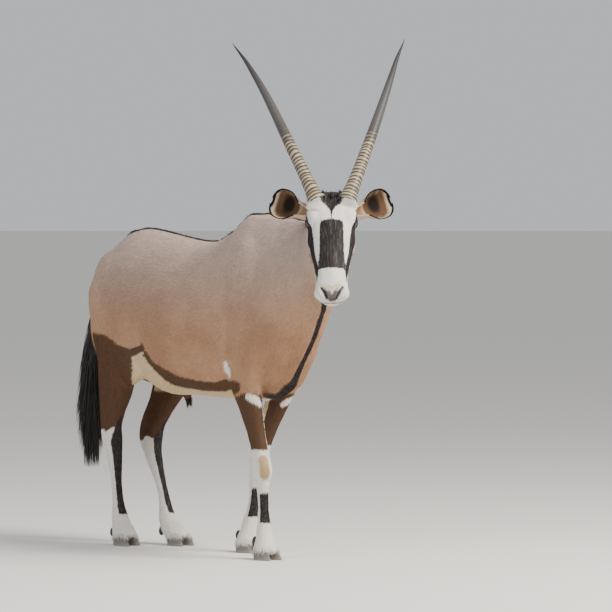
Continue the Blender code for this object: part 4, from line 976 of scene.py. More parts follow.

# %% [markdown]
# ## The coat's finish
# One recipe serves skin and tufts. It starts from the grey-fawn of the flanks, with a painted
# highlight that makes it paler towards the back, and lays the markings over it one by one. A
# little noise is added to each marking's distance first, so that its edge is ragged, as hair of
# two colours meets. On the skin, long thin noise gives the lie of short hair as bump.

# %% Helpers for finishes
class Finish:
    """A material in the making: every method adds a node and gives back its output."""

    def __init__(self, name, **constants):
        self.material = bpy.data.materials.new(name)
        self.material.use_nodes = True
        self.nodes = self.material.node_tree.nodes
        self.links = self.material.node_tree.links
        self.shader = self.nodes["Principled BSDF"]
        self.places = self.nodes.new("ShaderNodeTexCoord").outputs["Object"]
        for socket, value in constants.items():
            self.shader.inputs[socket.replace("_", " ")].default_value = value

    def add(self, kind, inputs, **settings):
        """Adds a node, with its settings, and links or sets its inputs by number or name."""
        node = self.nodes.new("ShaderNode" + kind)
        for key, value in settings.items():
            setattr(node, key, value)
        for key, value in inputs.items():
            if isinstance(value, bpy.types.NodeSocket):
                self.links.new(value, node.inputs[key])
            else:
                node.inputs[key].default_value = value
        return node

    def stretched(self, scale):
        """The object's own places, drawn out along its axes."""
        return self.add("Mapping", {"Vector": self.places, "Scale": scale}).outputs[0]

    def noise(self, scale, detail=3.0, places=None, rough=0.55):
        """Cloudy noise, from 0 to 1."""
        inputs = {"Vector": places or self.places, "Scale": scale, "Detail": detail,
                  "Roughness": rough}
        return self.add("TexNoise", inputs).outputs["Fac"]

    def kept(self, name):
        """A number kept on the piece's vertices."""
        return self.add("Attribute", {}, attribute_name=name).outputs["Fac"]

    def maths(self, kind, first, second):
        """One sum, difference or product."""
        return self.add("Math", {0: first, 1: second}, operation=kind).outputs[0]

    def between(self, value, low, high, start=0.0, end=1.0):
        """A smooth rise from start, at low, to end, at high."""
        inputs = {"Value": value, "From Min": low, "From Max": high, "To Min": start,
                  "To Max": end}
        return self.add("MapRange", inputs, interpolation_type="SMOOTHSTEP").outputs[0]

    def mix(self, share, first, second, kind="MIX"):
        """One colour laid over another."""
        node = self.add("Mix", {}, data_type="RGBA", blend_type=kind)
        for key, value in ((0, share), (6, first), (7, second)):
            if isinstance(value, bpy.types.NodeSocket):
                self.links.new(value, node.inputs[key])
            else:
                node.inputs[key].default_value = value if key == 0 else (*value, 1)
        return node.outputs[2]

    def bump(self, height, strength, distance, below=None):
        """Relief from a height, laid over the relief below it if there is any."""
        inputs = {"Height": height, "Strength": strength, "Distance": distance}
        if below is not None:
            inputs["Normal"] = below
        return self.add("Bump", inputs).outputs[0]

    def done(self, **sockets):
        """Links the shader's sockets and gives back the material."""
        for socket, value in sockets.items():
            self.links.new(value, self.shader.inputs[socket.replace("_", " ")])
        return self.material


# %% The coat's colours
FAWN_SHADE = (0.350, 0.188, 0.106)
FAWN = (0.440, 0.252, 0.148)
# Pale fawn: the colour of a painted highlight over the coat's back, and a paler hair tone on the
# ears' backs.
PALE_FAWN_AND_HIGHLIGHT = (0.465, 0.400, 0.368)
WHITE = (0.78, 0.74, 0.68)
CREAM = (0.64, 0.48, 0.29)
TAN = (0.48, 0.34, 0.17)
PALE = (0.54, 0.40, 0.29)
BROWN = (0.082, 0.040, 0.019)
BLACK = (0.009, 0.008, 0.010)
NOSE_GREY = (0.110, 0.095, 0.085)
# Grey of the streaks in black hair: partly grey hair tips, partly painted sheen.
GREY_TIPS_AND_SHEEN = (0.070, 0.058, 0.050)
# The markings in the order in which they are laid on: which, its colour, and how soft its edge is.
# The rim layer is the nostrils' black rims, with painted shade inside the nostrils.
LAYERS = (("pale", PALE, 14.0), ("white", WHITE, 1.6), ("cream", CREAM, 5.0), ("tan", TAN, 3.0),
          ("brown", BROWN, 1.2), ("black", None, 1.0), ("nose", NOSE_GREY, 2.4),
          ("rim", BLACK, 1.6))


# %% The pattern as one colour
def coat_colour(finish, ragged, soft):
    """The pattern's colour, from the markings kept on the piece. Black has streaks of grey: grey
    hair tips, and painted sheen.
    """
    patches = finish.noise(5.0, 4.0)
    colour = finish.mix(finish.between(patches, 0.35, 0.65), FAWN_SHADE, FAWN)
    # Painted highlight: the coat turns paler and greyer upward towards the back, as light from
    # above falls on it.
    height = finish.add("SeparateXYZ", {0: finish.places}).outputs[2]
    colour = finish.mix(finish.between(height, 0.74, 1.17, 0.0, 0.66), colour, PALE_FAWN_AND_HIGHLIGHT)
    edge = finish.maths("MULTIPLY", finish.maths("SUBTRACT", finish.noise(150, 2.0), 0.5), ragged)
    # Grey streaks in the black: partly grey hair tips, partly a painted sheen of light on black
    # hair.
    turn = tuple(head_place.to_3x3().inverted().to_euler())
    face_ways = finish.add("VectorRotate", {0: finish.places, "Rotation": turn},
                           rotation_type="EULER_XYZ").outputs[0]
    face_ways = finish.add("Mapping", {"Vector": face_ways, "Scale": (22, 190, 190)}).outputs[0]
    streaks = finish.noise(1.0, 2.0, face_ways)
    dark = finish.mix(finish.between(streaks, 0.45, 0.75), BLACK, GREY_TIPS_AND_SHEEN)
    for mark, shade, blur in LAYERS:
        inside = finish.maths("ADD", finish.kept(mark), edge)
        share = finish.between(inside, -soft * blur, soft * blur)
        colour = finish.mix(share, colour, dark if shade is None else shade)
    return colour


# %% The skin's finish
def skin_finish():
    """Short hair lying flat on the skin."""
    finish = Finish("coat_on_skin", Roughness=0.70, Specular_IOR_Level=0.22)
    colour = coat_colour(finish, 0.010, 0.0022)
    strands = finish.noise(1.0, 3.0, finish.stretched((180, 520, 260)))
    fine = finish.noise(1400, 2.0)
    colour = finish.mix(finish.between(strands, 0.30, 0.70, 0.30, 0.0), colour, (0.10, 0.07, 0.05))
    relief = finish.bump(strands, 0.35, 0.0020)
    relief = finish.bump(fine, 0.20, 0.0006, relief)
    return finish.done(Base_Color=colour, Normal=relief)


coat_on_skin = skin_finish()
skin.data.materials.append(coat_on_skin)
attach(skin, "root")
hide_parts(*FLESH)
print(coat_on_skin.name, "has", len(coat_on_skin.node_tree.nodes), "nodes")

# %% [markdown]
# ## Eyes
# The real eye is large, dark and wet, with an oval pupil that lies level. A sphere is enough
# under the lids: a low swelling for the cornea, the iris and pupil as distances kept on its
# vertices, and a clear coat for the wet shine.

# %% The eyes' finish
IRIS_RADIUS = 0.0118
PUPIL = (0.0068, 0.0030)
CORNEA = (0.0009, 0.0100)


def eye_finish():
    """Wet and dark: a brown iris, a black pupil, and a lighter rim that the lids nearly cover."""
    finish = Finish("eye_wet", Roughness=0.12, Coat_Weight=1.0, Coat_Roughness=0.02)
    fibres = finish.noise(900, 2.0)
    iris = finish.mix(fibres, (0.016, 0.008, 0.005), (0.045, 0.022, 0.011))
    in_pupil = finish.between(finish.kept("pupil"), -0.0006, 0.0006)
    colour = finish.mix(in_pupil, iris, (0.002, 0.002, 0.003))
    in_iris = finish.between(finish.kept("iris"), -0.0008, 0.0006)
    colour = finish.mix(in_iris, (0.10, 0.065, 0.045), colour)
    return finish.done(Base_Color=colour)


wet = eye_finish()

# %% Two eyes
for name, place in eye_places.items():
    bpy.ops.mesh.primitive_uv_sphere_add(segments=64, ring_count=32, radius=EYE_RADIUS)
    eye = bpy.context.object
    eye.name = f"eyeball_{name}"
    a, b, c = coords_of(eye).T
    around = np.hypot(a, b)
    c = c + CORNEA[0] * np.exp(-((around / CORNEA[1]) ** 2)) * (c > 0)
    front = c > 0
    pupil = (1 - np.hypot(a / PUPIL[0], b / PUPIL[1])) * PUPIL[1]
    keep_marks(eye, {"pupil": np.where(front, pupil, -1),
                     "iris": np.where(front, IRIS_RADIUS - around, -1)})
    move_to(eye, put_from(place, np.stack((a, b, c), 1)))
    bpy.ops.object.shade_smooth()
    eye.data.materials.append(wet)
    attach(eye, "root")
    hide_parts(f"eye_{name}")
    print(eye.name, "is", round(np.ptp(coords_of(eye)[:, 2]), 3), "m high")

# %% [markdown]
# ## Horns
# Horn grows in rings: each ring is a low ridge, steep on its lower side, and the rings fade out
# less than half way up, where the horn goes on smooth to a sharp tip. Each horn is a grid of
# faces that is rolled up: one way of the grid runs round the horn, the other along it, the
# seam is merged, and the rings are a rise added to the radius.

# %% A sheet of faces, rolled up
def rolled(name, around, along, shape):
    """A grid rolled up into a closed piece: shape(around, up) gives the place of each vertex."""
    bpy.ops.mesh.primitive_grid_add(x_subdivisions=around, y_subdivisions=along, size=1)
    piece = bpy.context.object
    piece.name = name
    flat = coords_of(piece) + 0.5
    move_to(piece, shape(flat[:, 0], flat[:, 1]))
    bpy.ops.object.mode_set(mode="EDIT")
    bpy.ops.mesh.select_all(action="SELECT")
    bpy.ops.mesh.remove_doubles(threshold=0.000002)
    bpy.ops.mesh.normals_make_consistent(inside=False)
    bpy.ops.object.mode_set(mode="OBJECT")
    bpy.ops.object.shade_smooth()
    piece.data.uv_layers[0].name = "OFBake"
    return piece


# %% The rings of a horn
HORN_LENGTH = 0.824
HORN_RINGS = 22
HORN_RINGED = 0.44  # the share of the length that has rings
HORN_SEEDS = {"left": 0.7, "right": 2.9}


def ring_rise(t, turn, seed):
    """How high the rings stand at a share of the length, 0 to 1."""
    wander = 0.16 * np.sin(turn + seed) + 0.11 * np.sin(2 * turn + 3 * seed + 31 * t)
    wander += 0.20 * np.sin(23 * t + seed) + 0.12 * np.sin(61 * t + 2 * seed)
    phase = t / HORN_RINGED * HORN_RINGS + wander
    part = phase - np.floor(phase)
    ridge = step_up(part, 0.0, 0.34) * (1 - step_up(part, 0.40, 1.0))
    uneven = 0.72 + 0.28 * np.sin(np.floor(phase) * 2.4 + seed + 0.8 * np.sin(turn * 2))
    fade = (1 - step_up(t, 0.26, HORN_RINGED + 0.06)) * step_up(t, -0.05, -0.03)
    return ridge * uneven * fade * (0.80 + 0.20 * np.cos(turn))


# %% The form of a horn
HORN_BASE = 0.0228
HORN_RIDGE = 0.0026
HORN_FLARE = (0.0095, 0.045)
HORN_BOWS = {"left": -0.007, "right": 0.014}  # how far the middle lies inward of the chord
HORN_TIP_DRIFTS = {"left": (0.0, -0.007), "right": (0.013, -0.006)}  # from half way, near the tip
HORN_FOOT_DRIFTS = {"left": 0.000, "right": 0.003}  # how far the foot lies further inward


def horn_place(name):
    """A horn's foot, and its directions ahead, inward and to the front."""
    side = SIDES[name]
    foot = head_place @ Vector((HORN_FOOT[0], HORN_FOOT[1] * side, HORN_FOOT[2]))
    ahead = turned(head_place, HORN_WAYS[name])
    inward = turned(head_place, (0, -side, 0))
    inward = (inward - ahead * inward.dot(ahead)).normalized()
    front = turned(head_place, (0, 0, 1))
    front = (front - ahead * front.dot(ahead)).normalized()
    return [np.array(v) for v in (foot, ahead, inward, front)]


def horn_bend(t, name):
    """How far inward of its chord a horn lies at a share of its length."""
    middle, tip = HORN_TIP_DRIFTS[name]
    bend = 4 * t * (1 - t) * HORN_BOWS[name] + HORN_FOOT_DRIFTS[name] * (1 - step_up(t, 0.0, 0.7))
    return bend + middle * step_up(t, 0.25, 0.75) + tip * step_up(t, 0.84, 1.0)


def horn_along(up):
    """More rows for the ringed part: the grid's way up becomes a share of the length."""
    return np.where(up < 0.72, -0.025 + up / 0.72 * 0.475, 0.45 + (up - 0.72) / 0.28 * 0.55)


def horn_shape(name):
    """The form of one horn, for the rolled grid."""
    foot, ahead, inward, front = horn_place(name)

    def shape(around, up):
        t = horn_along(up)
        grown = np.maximum(t, 0)
        turn = around * math.tau
        radius = HORN_BASE * (1 - 0.44 * grown - 0.56 * grown**4)
        radius += HORN_FLARE[0] * np.exp(-grown / HORN_FLARE[1])
        rings = HORN_RIDGE * ring_rise(t, turn, HORN_SEEDS[name])
        radius += rings * (1 - 0.45 * grown / HORN_RINGED)
        radius *= np.where((up > 0) & (up < 1), 1, 0)
        bend = horn_bend(t, name)[:, None]
        middle = foot + ahead * (HORN_LENGTH * t)[:, None] + inward * bend
        sideways = inward * np.sin(turn)[:, None] + front * np.cos(turn)[:, None]
        return middle + sideways * radius[:, None]

    return shape


# %% The horns' finish
def horn_finish():
    """Pale worn ridges, dark furrows, fine lines along the horn, and a near black tip."""
    finish = Finish("horn_ringed", Roughness=0.42)
    ridge = finish.kept("ridge")
    along = finish.kept("along")
    streaks = finish.noise(1.0, 4.0, finish.stretched((300, 300, 42)))
    clouds = finish.noise(38, 3.0)
    furrow = finish.mix(streaks, (0.020, 0.015, 0.012), (0.070, 0.050, 0.036))
    worn = finish.mix(clouds, (0.26, 0.20, 0.125), (0.42, 0.34, 0.23))
    ringed = finish.mix(finish.between(ridge, 0.10, 0.62), furrow, worn)
    slate = finish.mix(streaks, (0.026, 0.026, 0.030), (0.100, 0.088, 0.076))
    smooth = finish.mix(finish.between(along, 0.55, 1.0), slate, (0.016, 0.015, 0.016))
    colour = finish.mix(finish.between(along, 0.27, 0.50), ringed, smooth)
    relief = finish.bump(streaks, 0.30, 0.0006)
    return finish.done(Base_Color=colour, Normal=relief)


ringed_horn = horn_finish()

# %% Two horns
HORN_AROUND = 84
HORN_ROWS = 430
for name in SIDES:
    horn = rolled(f"ringed_horn_{name}", HORN_AROUND, HORN_ROWS, horn_shape(name))
    foot, ahead, inward, front = horn_place(name)
    from_foot = coords_of(horn) - foot
    t = from_foot @ ahead / HORN_LENGTH
    turn = np.arctan2(from_foot @ inward - horn_bend(t, name), from_foot @ front)
    keep_marks(horn, {"ridge": ring_rise(t, turn, HORN_SEEDS[name]), "along": t})
    horn.data.materials.append(ringed_horn)
    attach(horn, "root")
    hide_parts(f"horn_{name}")
    print(horn.name, "has", len(horn.data.polygons), "faces")

# %% [markdown]
# ## Ears
# An ear is a thin cup of gristle, rolled up to a stalk at its root and open in front. It is made
# as a flat sheet that is rolled more at the root than at the tip, given its thickness by a
# Solidify. Its rim is black, most at the outer corner; inside it is cream, with painted shade dark
# in the hollow of the cup.

# %% The form of an ear
EAR_LENGTH = 0.161
EAR_ROOT = (0.034, 0.070, -0.050)
EAR_AXIS = (-0.53, 0.82, -0.22)
EAR_OPENING = (0.55, 0.0, 0.83)
# An ear from root to tip: the share of its length, its half width laid flat, and its roll to
# either side in radians.
EAR_ROWS = np.array((
    (-0.06, 0.066, 2.90), (0.00, 0.067, 2.80), (0.16, 0.066, 2.50), (0.33, 0.062, 2.20),
    (0.42, 0.072, 1.85), (0.52, 0.077, 1.58), (0.66, 0.074, 1.40), (0.82, 0.065, 1.25),
    (0.93, 0.049, 1.10), (1.00, 0.030, 0.95), (1.03, 0.011, 0.85),
))


def ear_axes(side):
    """An ear's root, and its directions up to the tip, across, and out of the cup."""
    root = head_place @ Vector((EAR_ROOT[0], EAR_ROOT[1] * side, EAR_ROOT[2]))
    axis = turned(head_place, (EAR_AXIS[0], EAR_AXIS[1] * side, EAR_AXIS[2]))
    opening = turned(head_place, EAR_OPENING)
    opening = (opening - axis * opening.dot(axis)).normalized()
    across = axis.cross(opening).normalized() * side
    return [np.array(v) for v in (root, axis, across, opening)]


def ear_surface(side, around, t):
    """Places on the rolled sheet: a share of the way round it, and a share of its length."""
    root, axis, across, opening = ear_axes(side)
    half = np.interp(t, EAR_ROWS[:, 0], EAR_ROWS[:, 1])
    roll = np.interp(t, EAR_ROWS[:, 0], EAR_ROWS[:, 2])
    turn = (2 * around - 1) * roll
    radius = half / roll
    outward = radius * (np.cos(turn) - np.cos(roll) * 0.5 - 0.5)
    places = root + axis * (t * EAR_LENGTH)[:, None]
    return places + across * (radius * np.sin(turn))[:, None] - opening * outward[:, None]


# %% The ears' finish
def ear_finish():
    """Short hair on the ear: fawn behind, cream inside with painted shade dark in the cup's
    hollow, black along the rim.
    """
    finish = Finish("coat_on_ear", Roughness=0.75, Specular_IOR_Level=0.12)
    hairs = finish.noise(420, 3.0)
    back = finish.mix(hairs, FAWN, PALE_FAWN_AND_HIGHLIGHT)
    cup = finish.mix(hairs, (0.42, 0.30, 0.18), (0.64, 0.53, 0.39))
    painted_cup_shade = finish.kept("painted_cup_shade")
    ragged_cup_shade = finish.maths("ADD", painted_cup_shade, finish.maths("MULTIPLY", hairs, 0.012))
    # Painted shade in the cup's hollow: dark brown, and near black where it is deepest.
    brown = finish.mix(hairs, (0.050, 0.025, 0.014), (0.150, 0.085, 0.046))
    stalk = finish.mix(hairs, (0.20, 0.11, 0.055), (0.40, 0.26, 0.15))
    cup = finish.mix(finish.between(finish.kept("stalk"), -0.010, 0.012), cup, stalk)
    cup = finish.mix(finish.between(ragged_cup_shade, -0.002, 0.010), cup, brown)
    cup = finish.mix(finish.between(ragged_cup_shade, 0.018, 0.036), cup, (0.012, 0.007, 0.005))
    colour = finish.mix(finish.kept("inside"), back, cup)
    ragged = finish.maths("MULTIPLY", finish.maths("SUBTRACT", hairs, 0.5), 0.008)
    rim = finish.maths("ADD", finish.kept("rim"), ragged)
    colour = finish.mix(finish.between(rim, -0.0015, 0.0020), colour, BLACK)
    return finish.done(Base_Color=colour, Normal=finish.bump(hairs, 0.4, 0.001))


coat_on_ear = ear_finish()

# %% Two ears
EAR_WALL = 0.0034
EAR_ACROSS = 52
EAR_UP = 64
for name, side in SIDES.items():
    root, axis, across, opening = ear_axes(side)
    bpy.ops.mesh.primitive_grid_add(x_subdivisions=EAR_ACROSS, y_subdivisions=EAR_UP, size=1)
    ear = bpy.context.object
    ear.name = f"ear_cup_{name}"
    flat = coords_of(ear) + 0.5
    low, high = EAR_ROWS[0, 0], EAR_ROWS[-1, 0]
    t = low + (high - low) * flat[:, 1] ** 0.85
    half = np.interp(t, EAR_ROWS[:, 0], EAR_ROWS[:, 1])
    places = ear_surface(side, flat[:, 0], t)
    inner = np.minimum(flat[:, 0], 1 - flat[:, 0]) > 0.001
    move_to(ear, relax(places, edges_of(ear), inner * 1.0, 6))
    from_rim = np.minimum((1 - np.abs(2 * flat[:, 0] - 1)) * half, (high - t) * EAR_LENGTH)
    upper = (2 * flat[:, 0] - 1) * (1 if (across @ np.array((0, 0, 1))) > 0 else -1)
    thick = 0.0035 + 0.006 * step_up(t, 0.70, 1.0) + 0.002 * step_up(upper, 0.2, 0.9)
    rim = np.where(t > 0.30, thick - from_rim, -0.02)
    # Where the painted shade lies in the cup: round a point part way up the ear.
    painted_cup_shade = 0.043 - np.hypot((t - 0.65) * EAR_LENGTH, (upper - 0.14) * half * 0.63)
    plain = len(ear.data.vertices)
    add_modifier(ear, "SOLIDIFY", thickness=EAR_WALL, offset=0.0, use_even_offset=True)
    full = coords_of(ear)
    first_inside = ((full[:plain] - full[plain:]) @ opening).mean() > 0
    inside = np.repeat((1.0, 0.0) if first_inside else (0.0, 1.0), plain)
    stalk = (0.36 - t) * EAR_LENGTH
    keep_marks(ear, {"inside": inside, "rim": np.tile(rim, 2), "painted_cup_shade": np.tile(painted_cup_shade, 2),
                     "stalk": np.tile(stalk, 2)})
    bpy.ops.object.shade_smooth()
    ear.data.materials.append(coat_on_ear)
    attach(ear, "root")
    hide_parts(f"ear_{name}")
    print(ear.name, "has", len(ear.data.polygons), "faces")

# %% [markdown]
# ## Hooves
# Each foot stands on two claws, long and pointed in front, flat underneath, with a seam of hair
# above. Two small dewclaws hang behind the pastern. A claw is a rolled grid again: out from the
# middle of its sole, up its wall, and into the foot under the hair.

# %% The form of a claw
FOOT_CENTRES = {"foreleg_right": (0.426, -0.079), "foreleg_left": (0.141, 0.073),
                "hindleg_right": (-0.384, -0.075), "hindleg_left": (-0.258, 0.075)}
CLAW_OFFSET = 0.0190
CLAW_SPLAY = 0.10
CLAW_TOP = 0.044
# A claw from the floor up: height, reach to the toe, reach to the heel, width.
CLAW_ROWS = np.array(((0.000, 0.053, 0.036, 0.0365), (0.003, 0.055, 0.037, 0.0378),
                      (0.008, 0.053, 0.038, 0.0380), (0.024, 0.040, 0.036, 0.0360),
                      (0.060, 0.012, 0.032, 0.0300)))


def claw_shape(leg, outward):
    """The form of one claw, for the rolled grid."""
    x, y = FOOT_CENTRES[leg]
    middle = np.array(body_place @ Vector((x, y + outward * CLAW_OFFSET, 0)))

    def shape(around, up):
        sole = np.clip(up / 0.14, 0, 1)
        rise = CLAW_TOP * np.clip((up - 0.14) / 0.76, 0, 1)
        close = 1 - np.clip((up - 0.90) / 0.10, 0, 1)
        front, back, width = (np.interp(rise, CLAW_ROWS[:, 0], CLAW_ROWS[:, i]) for i in (1, 2, 3))
        turn = around * math.tau
        c = np.cos(turn)
        s = np.sin(turn)
        reach = np.where(c > 0, front, back) * sole * close
        ahead = reach * np.sign(c) * np.abs(c) ** np.where(c > 0, 1.25, 0.8)
        bulge = np.where(s * outward > 0, 0.62, 0.38)
        ripple = 1 + 0.012 * np.sin(rise * 1250) * step_up(rise, 0.004, 0.008)
        beside = bulge * width * s * (1 - 0.18 * np.maximum(c, 0)) * sole * close * ripple
        beside = beside + outward * CLAW_SPLAY * ahead
        return middle + np.stack((ahead * ripple, beside, rise), 1)

    return shape


# %% The hooves' finish
def hoof_finish():
    """Dark horn with growth rings, scuffed pale near the ground."""
    finish = Finish("hoof_horn", Roughness=0.55)
    height = finish.add("SeparateXYZ", {0: finish.places}).outputs[2]
    grain = finish.noise(1.0, 4.0, finish.stretched((240, 240, 60)))
    colour = finish.mix(grain, (0.105, 0.092, 0.080), (0.215, 0.190, 0.165))
    near_ground = finish.between(height, 0.014, 0.0, 0.0, 0.75)
    dusty = finish.maths("MULTIPLY", near_ground, finish.noise(160, 3.0))
    colour = finish.mix(dusty, colour, (0.42, 0.36, 0.29))
    return finish.done(Base_Color=colour, Normal=finish.bump(grain, 0.35, 0.0006))


hoof_horn = hoof_finish()

# %% Eight claws
CLAW_AROUND = 64
CLAW_UP = 60
for leg in LEG_NAMES:
    for label, outward in (("left", 1), ("right", -1)):
        claw = rolled(f"hoof_{leg}_{label}", CLAW_AROUND, CLAW_UP, claw_shape(leg, outward))
        claw.data.materials.append(hoof_horn)
        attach(claw, "root")
        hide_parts(f"{leg}_claw_{label}")
    print(claw.name, "is", round(np.ptp(coords_of(claw)[:, 0]), 3), "m long")

# %% Eight dewclaws
DEWCLAW_SWELL = (1.25, 1.00, 1.30)
DEWCLAW_LEAN = 0.125  # how far the lower end lies back, as a share of half the length
dewclaw_horn = Finish("dewclaw_horn", Roughness=0.5, Base_Color=(0.022, 0.019, 0.017, 1)).material
for leg in LEG_NAMES:
    for label in ("left", "right"):
        low, high = (np.array(corner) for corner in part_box(f"{leg}_dewclaw_{label}"))
        bpy.ops.mesh.primitive_uv_sphere_add(segments=24, ring_count=14, radius=1.0)
        dewclaw = bpy.context.object
        dewclaw.name = f"dewclaw_{leg}_{label}"
        shape = coords_of(dewclaw)
        shape[:, 0] -= DEWCLAW_LEAN * (1 - shape[:, 2])
        half = (high - low) / 2
        middle = (low + high) / 2 - (0.002, 0, 0.003)
        move_to(dewclaw, middle + shape * half * DEWCLAW_SWELL)
        bpy.ops.object.shade_smooth()
        dewclaw.data.materials.append(dewclaw_horn)
        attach(dewclaw, "root")
        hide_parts(f"{leg}_dewclaw_{label}")

# %% [markdown]
# ## Long hair
# The tail ends in a tuft of long black hair, and a short dark mane stands along the crest. Each
# lock is a thin three-sided tube of a few lengths that bends and runs out to a point. Thousands
# of them are made at once from arrays of roots, directions and bends.

# %% Pieces from arrays
def unit(vectors):
    """Directions, each made one long."""
    return vectors / np.maximum(np.linalg.norm(vectors, axis=1), 1e-9)[:, None]


def from_arrays(name, coords, faces, finish, normals=None):
    """A new piece from vertex places and triangles, shaded along given normals if any."""
    mesh = bpy.data.meshes.new(name)
    mesh.vertices.add(len(coords))
    mesh.vertices.foreach_set("co", coords.ravel())
    mesh.loops.add(len(faces) * 3)
    mesh.loops.foreach_set("vertex_index", faces.ravel())
    mesh.polygons.add(len(faces))
    mesh.polygons.foreach_set("loop_start", np.arange(len(faces)) * 3)
    mesh.update(calc_edges=True)
    piece = bpy.data.objects.new(name, mesh)
    bpy.context.scene.collection.objects.link(piece)
    only(piece)
    bpy.ops.object.shade_smooth()
    if normals is not None:
        layer = mesh.attributes.new("custom_normal", "FLOAT_VECTOR", "POINT")
        layer.data.foreach_set("vector", normals.astype(np.float32).ravel())
    piece.data.materials.append(finish)
    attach(piece, "root")
    return piece


def bake_patches(piece, u, v, vertices, size=0.003):
    """The map for baking: a small patch for each lock, at its root's place on the body."""
    layer = piece.data.uv_layers.new(name="OFBake")
    numbers = np.empty(len(piece.data.loops), np.int32)
    piece.data.loops.foreach_get("vertex_index", numbers)
    turn = np.arange(vertices) / max(vertices - 1, 1) * math.tau
    reach = np.full(vertices, size / 2)
    reach[-1] = 0.0
    own = np.stack((np.cos(turn) * reach, np.sin(turn) * reach), 1)
    roots = np.clip(np.stack((u, v), 1), size, 1 - size)
    spots = (roots[:, None, :] + own[None, :, :]).reshape(-1, 2)
    layer.data.foreach_set("uv", spots[numbers].astype(np.float32).ravel())


# %% Locks from arrays
rng = np.random.default_rng(11)


def locks(name, roots, ways, bends, lengths, widths, finish, steps=4):
    """Many bent locks as one piece: three sides, so many steps, and a point."""
    count = len(roots)
    ways = unit(ways)
    side = unit(np.cross(ways, rng.normal(size=(count, 3))))
    across = np.cross(ways, side)
    stops = np.arange(steps) / steps
    rows = []
    for stop in stops:
        middle = roots + ways * (lengths * stop)[:, None] + bends * stop**2
        width = widths * (1 - stop) ** 0.6 * (0.75 + 0.5 * math.sin(math.pi * min(1, stop + 0.2)))
        for corner in range(3):
            turn = math.tau * corner / 3
            out = side * math.cos(turn) + across * math.sin(turn)
            rows.append(middle + out * width[:, None])
    rows.append(roots + ways * lengths[:, None] + bends)
    each = len(rows)
    coords = np.stack(rows, 1).reshape(-1, 3)
    faces = [(0, 2, 1)]
    for row in range(steps - 1):
        for corner in range(3):
            a, b = row * 3 + corner, row * 3 + (corner + 1) % 3
            faces += [(a, b, b + 3), (a, b + 3, a + 3)]
    last = (steps - 1) * 3
    faces += [(last + corner, last + (corner + 1) % 3, each - 1) for corner in range(3)]
    faces = (np.array(faces)[None] + (np.arange(count) * each)[:, None, None]).reshape(-1, 3)
    piece = from_arrays(name, coords, faces, finish)
    keep_marks(piece, {"shade": rng.uniform(size=count)}, each)
    piece["each"] = each
    return piece


def hair_finish(name, roughness, dark, light):
    """Hair with a shade of its own for every lock, between two colours."""
    finish = Finish(name, Roughness=roughness)
    return finish.done(Base_Color=finish.mix(finish.kept("shade"), dark, light))


dark_hair = hair_finish("dark_hair", 0.45, (0.008, 0.007, 0.007), (0.030, 0.022, 0.018))

# %% The tail's tuft
TUFT_TOP = np.array(body_place @ Vector((-0.652, -0.014, 0.775)))
TUFT_LOW = np.array(body_place @ Vector((-0.660, -0.018, 0.268)))
TUFT_SWAY = -0.012
TUFT_SPREAD = 0.058
TUFT_LOCKS = 2600


def tuft_middle(t):
    """The middle of the tuft at a share of its length."""
    sway = np.sin(math.pi * t) * TUFT_SWAY
    return TUFT_TOP + (TUFT_LOW - TUFT_TOP) * t[:, None] + sway[:, None] * np.array((1, 0, 0))


start = rng.uniform(-0.14, 0.60, TUFT_LOCKS)
turn = rng.uniform(0, math.tau, TUFT_LOCKS)
around = np.stack((np.cos(turn), np.sin(turn), np.zeros(TUFT_LOCKS)), 1)
root = tuft_middle(start) + around * rng.uniform(0.003, 0.014, TUFT_LOCKS)[:, None]
end = np.minimum(start + rng.uniform(0.30, 0.56, TUFT_LOCKS), 1.0)
spread = TUFT_SPREAD * np.sin(math.pi * np.clip(end * 0.80, 0, 1)) ** 0.8
spread *= 1 - 0.22 * step_up(end, 0.8, 1.0)
tip = tuft_middle(end) + around * (spread * rng.uniform(0.15, 1.0, TUFT_LOCKS) ** 0.7)[:, None]
bend = around * rng.uniform(-0.030, 0.004, TUFT_LOCKS)[:, None]
bend += rng.normal(size=(TUFT_LOCKS, 3)) * (0.006, 0.006, 0.0)
way = tip - bend - root
tuft = locks("tail_locks", root, way, bend, np.linalg.norm(way, axis=1),
             rng.uniform(0.0012, 0.0026, TUFT_LOCKS), dark_hair, 5)
bake_patches(tuft, turn / math.tau, (start + 0.14) / 0.76, tuft["each"])
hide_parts("tail_tuft")
print("the tail's tuft has", TUFT_LOCKS, "locks")

# %% [markdown]
# ## The lie of the coat
# Short hair runs back from the nose over the face, down and back along the neck and trunk, and
# down the legs. Each vertex of the skin gets a direction by where it is, pressed into the
# surface, and the directions are averaged with their neighbours' many times, so that the
# regions flow into each other as a real coat does.

# %% Directions on the skin
skin_coords = coords_of(skin)
skin_normals = normals_of(skin)
skin_edges = edges_of(skin)


def pressed_flat(directions, normals):
    """Directions without their part along the normal, one long."""
    out = (directions * normals).sum(1)
    return unit(directions - normals * out[:, None])


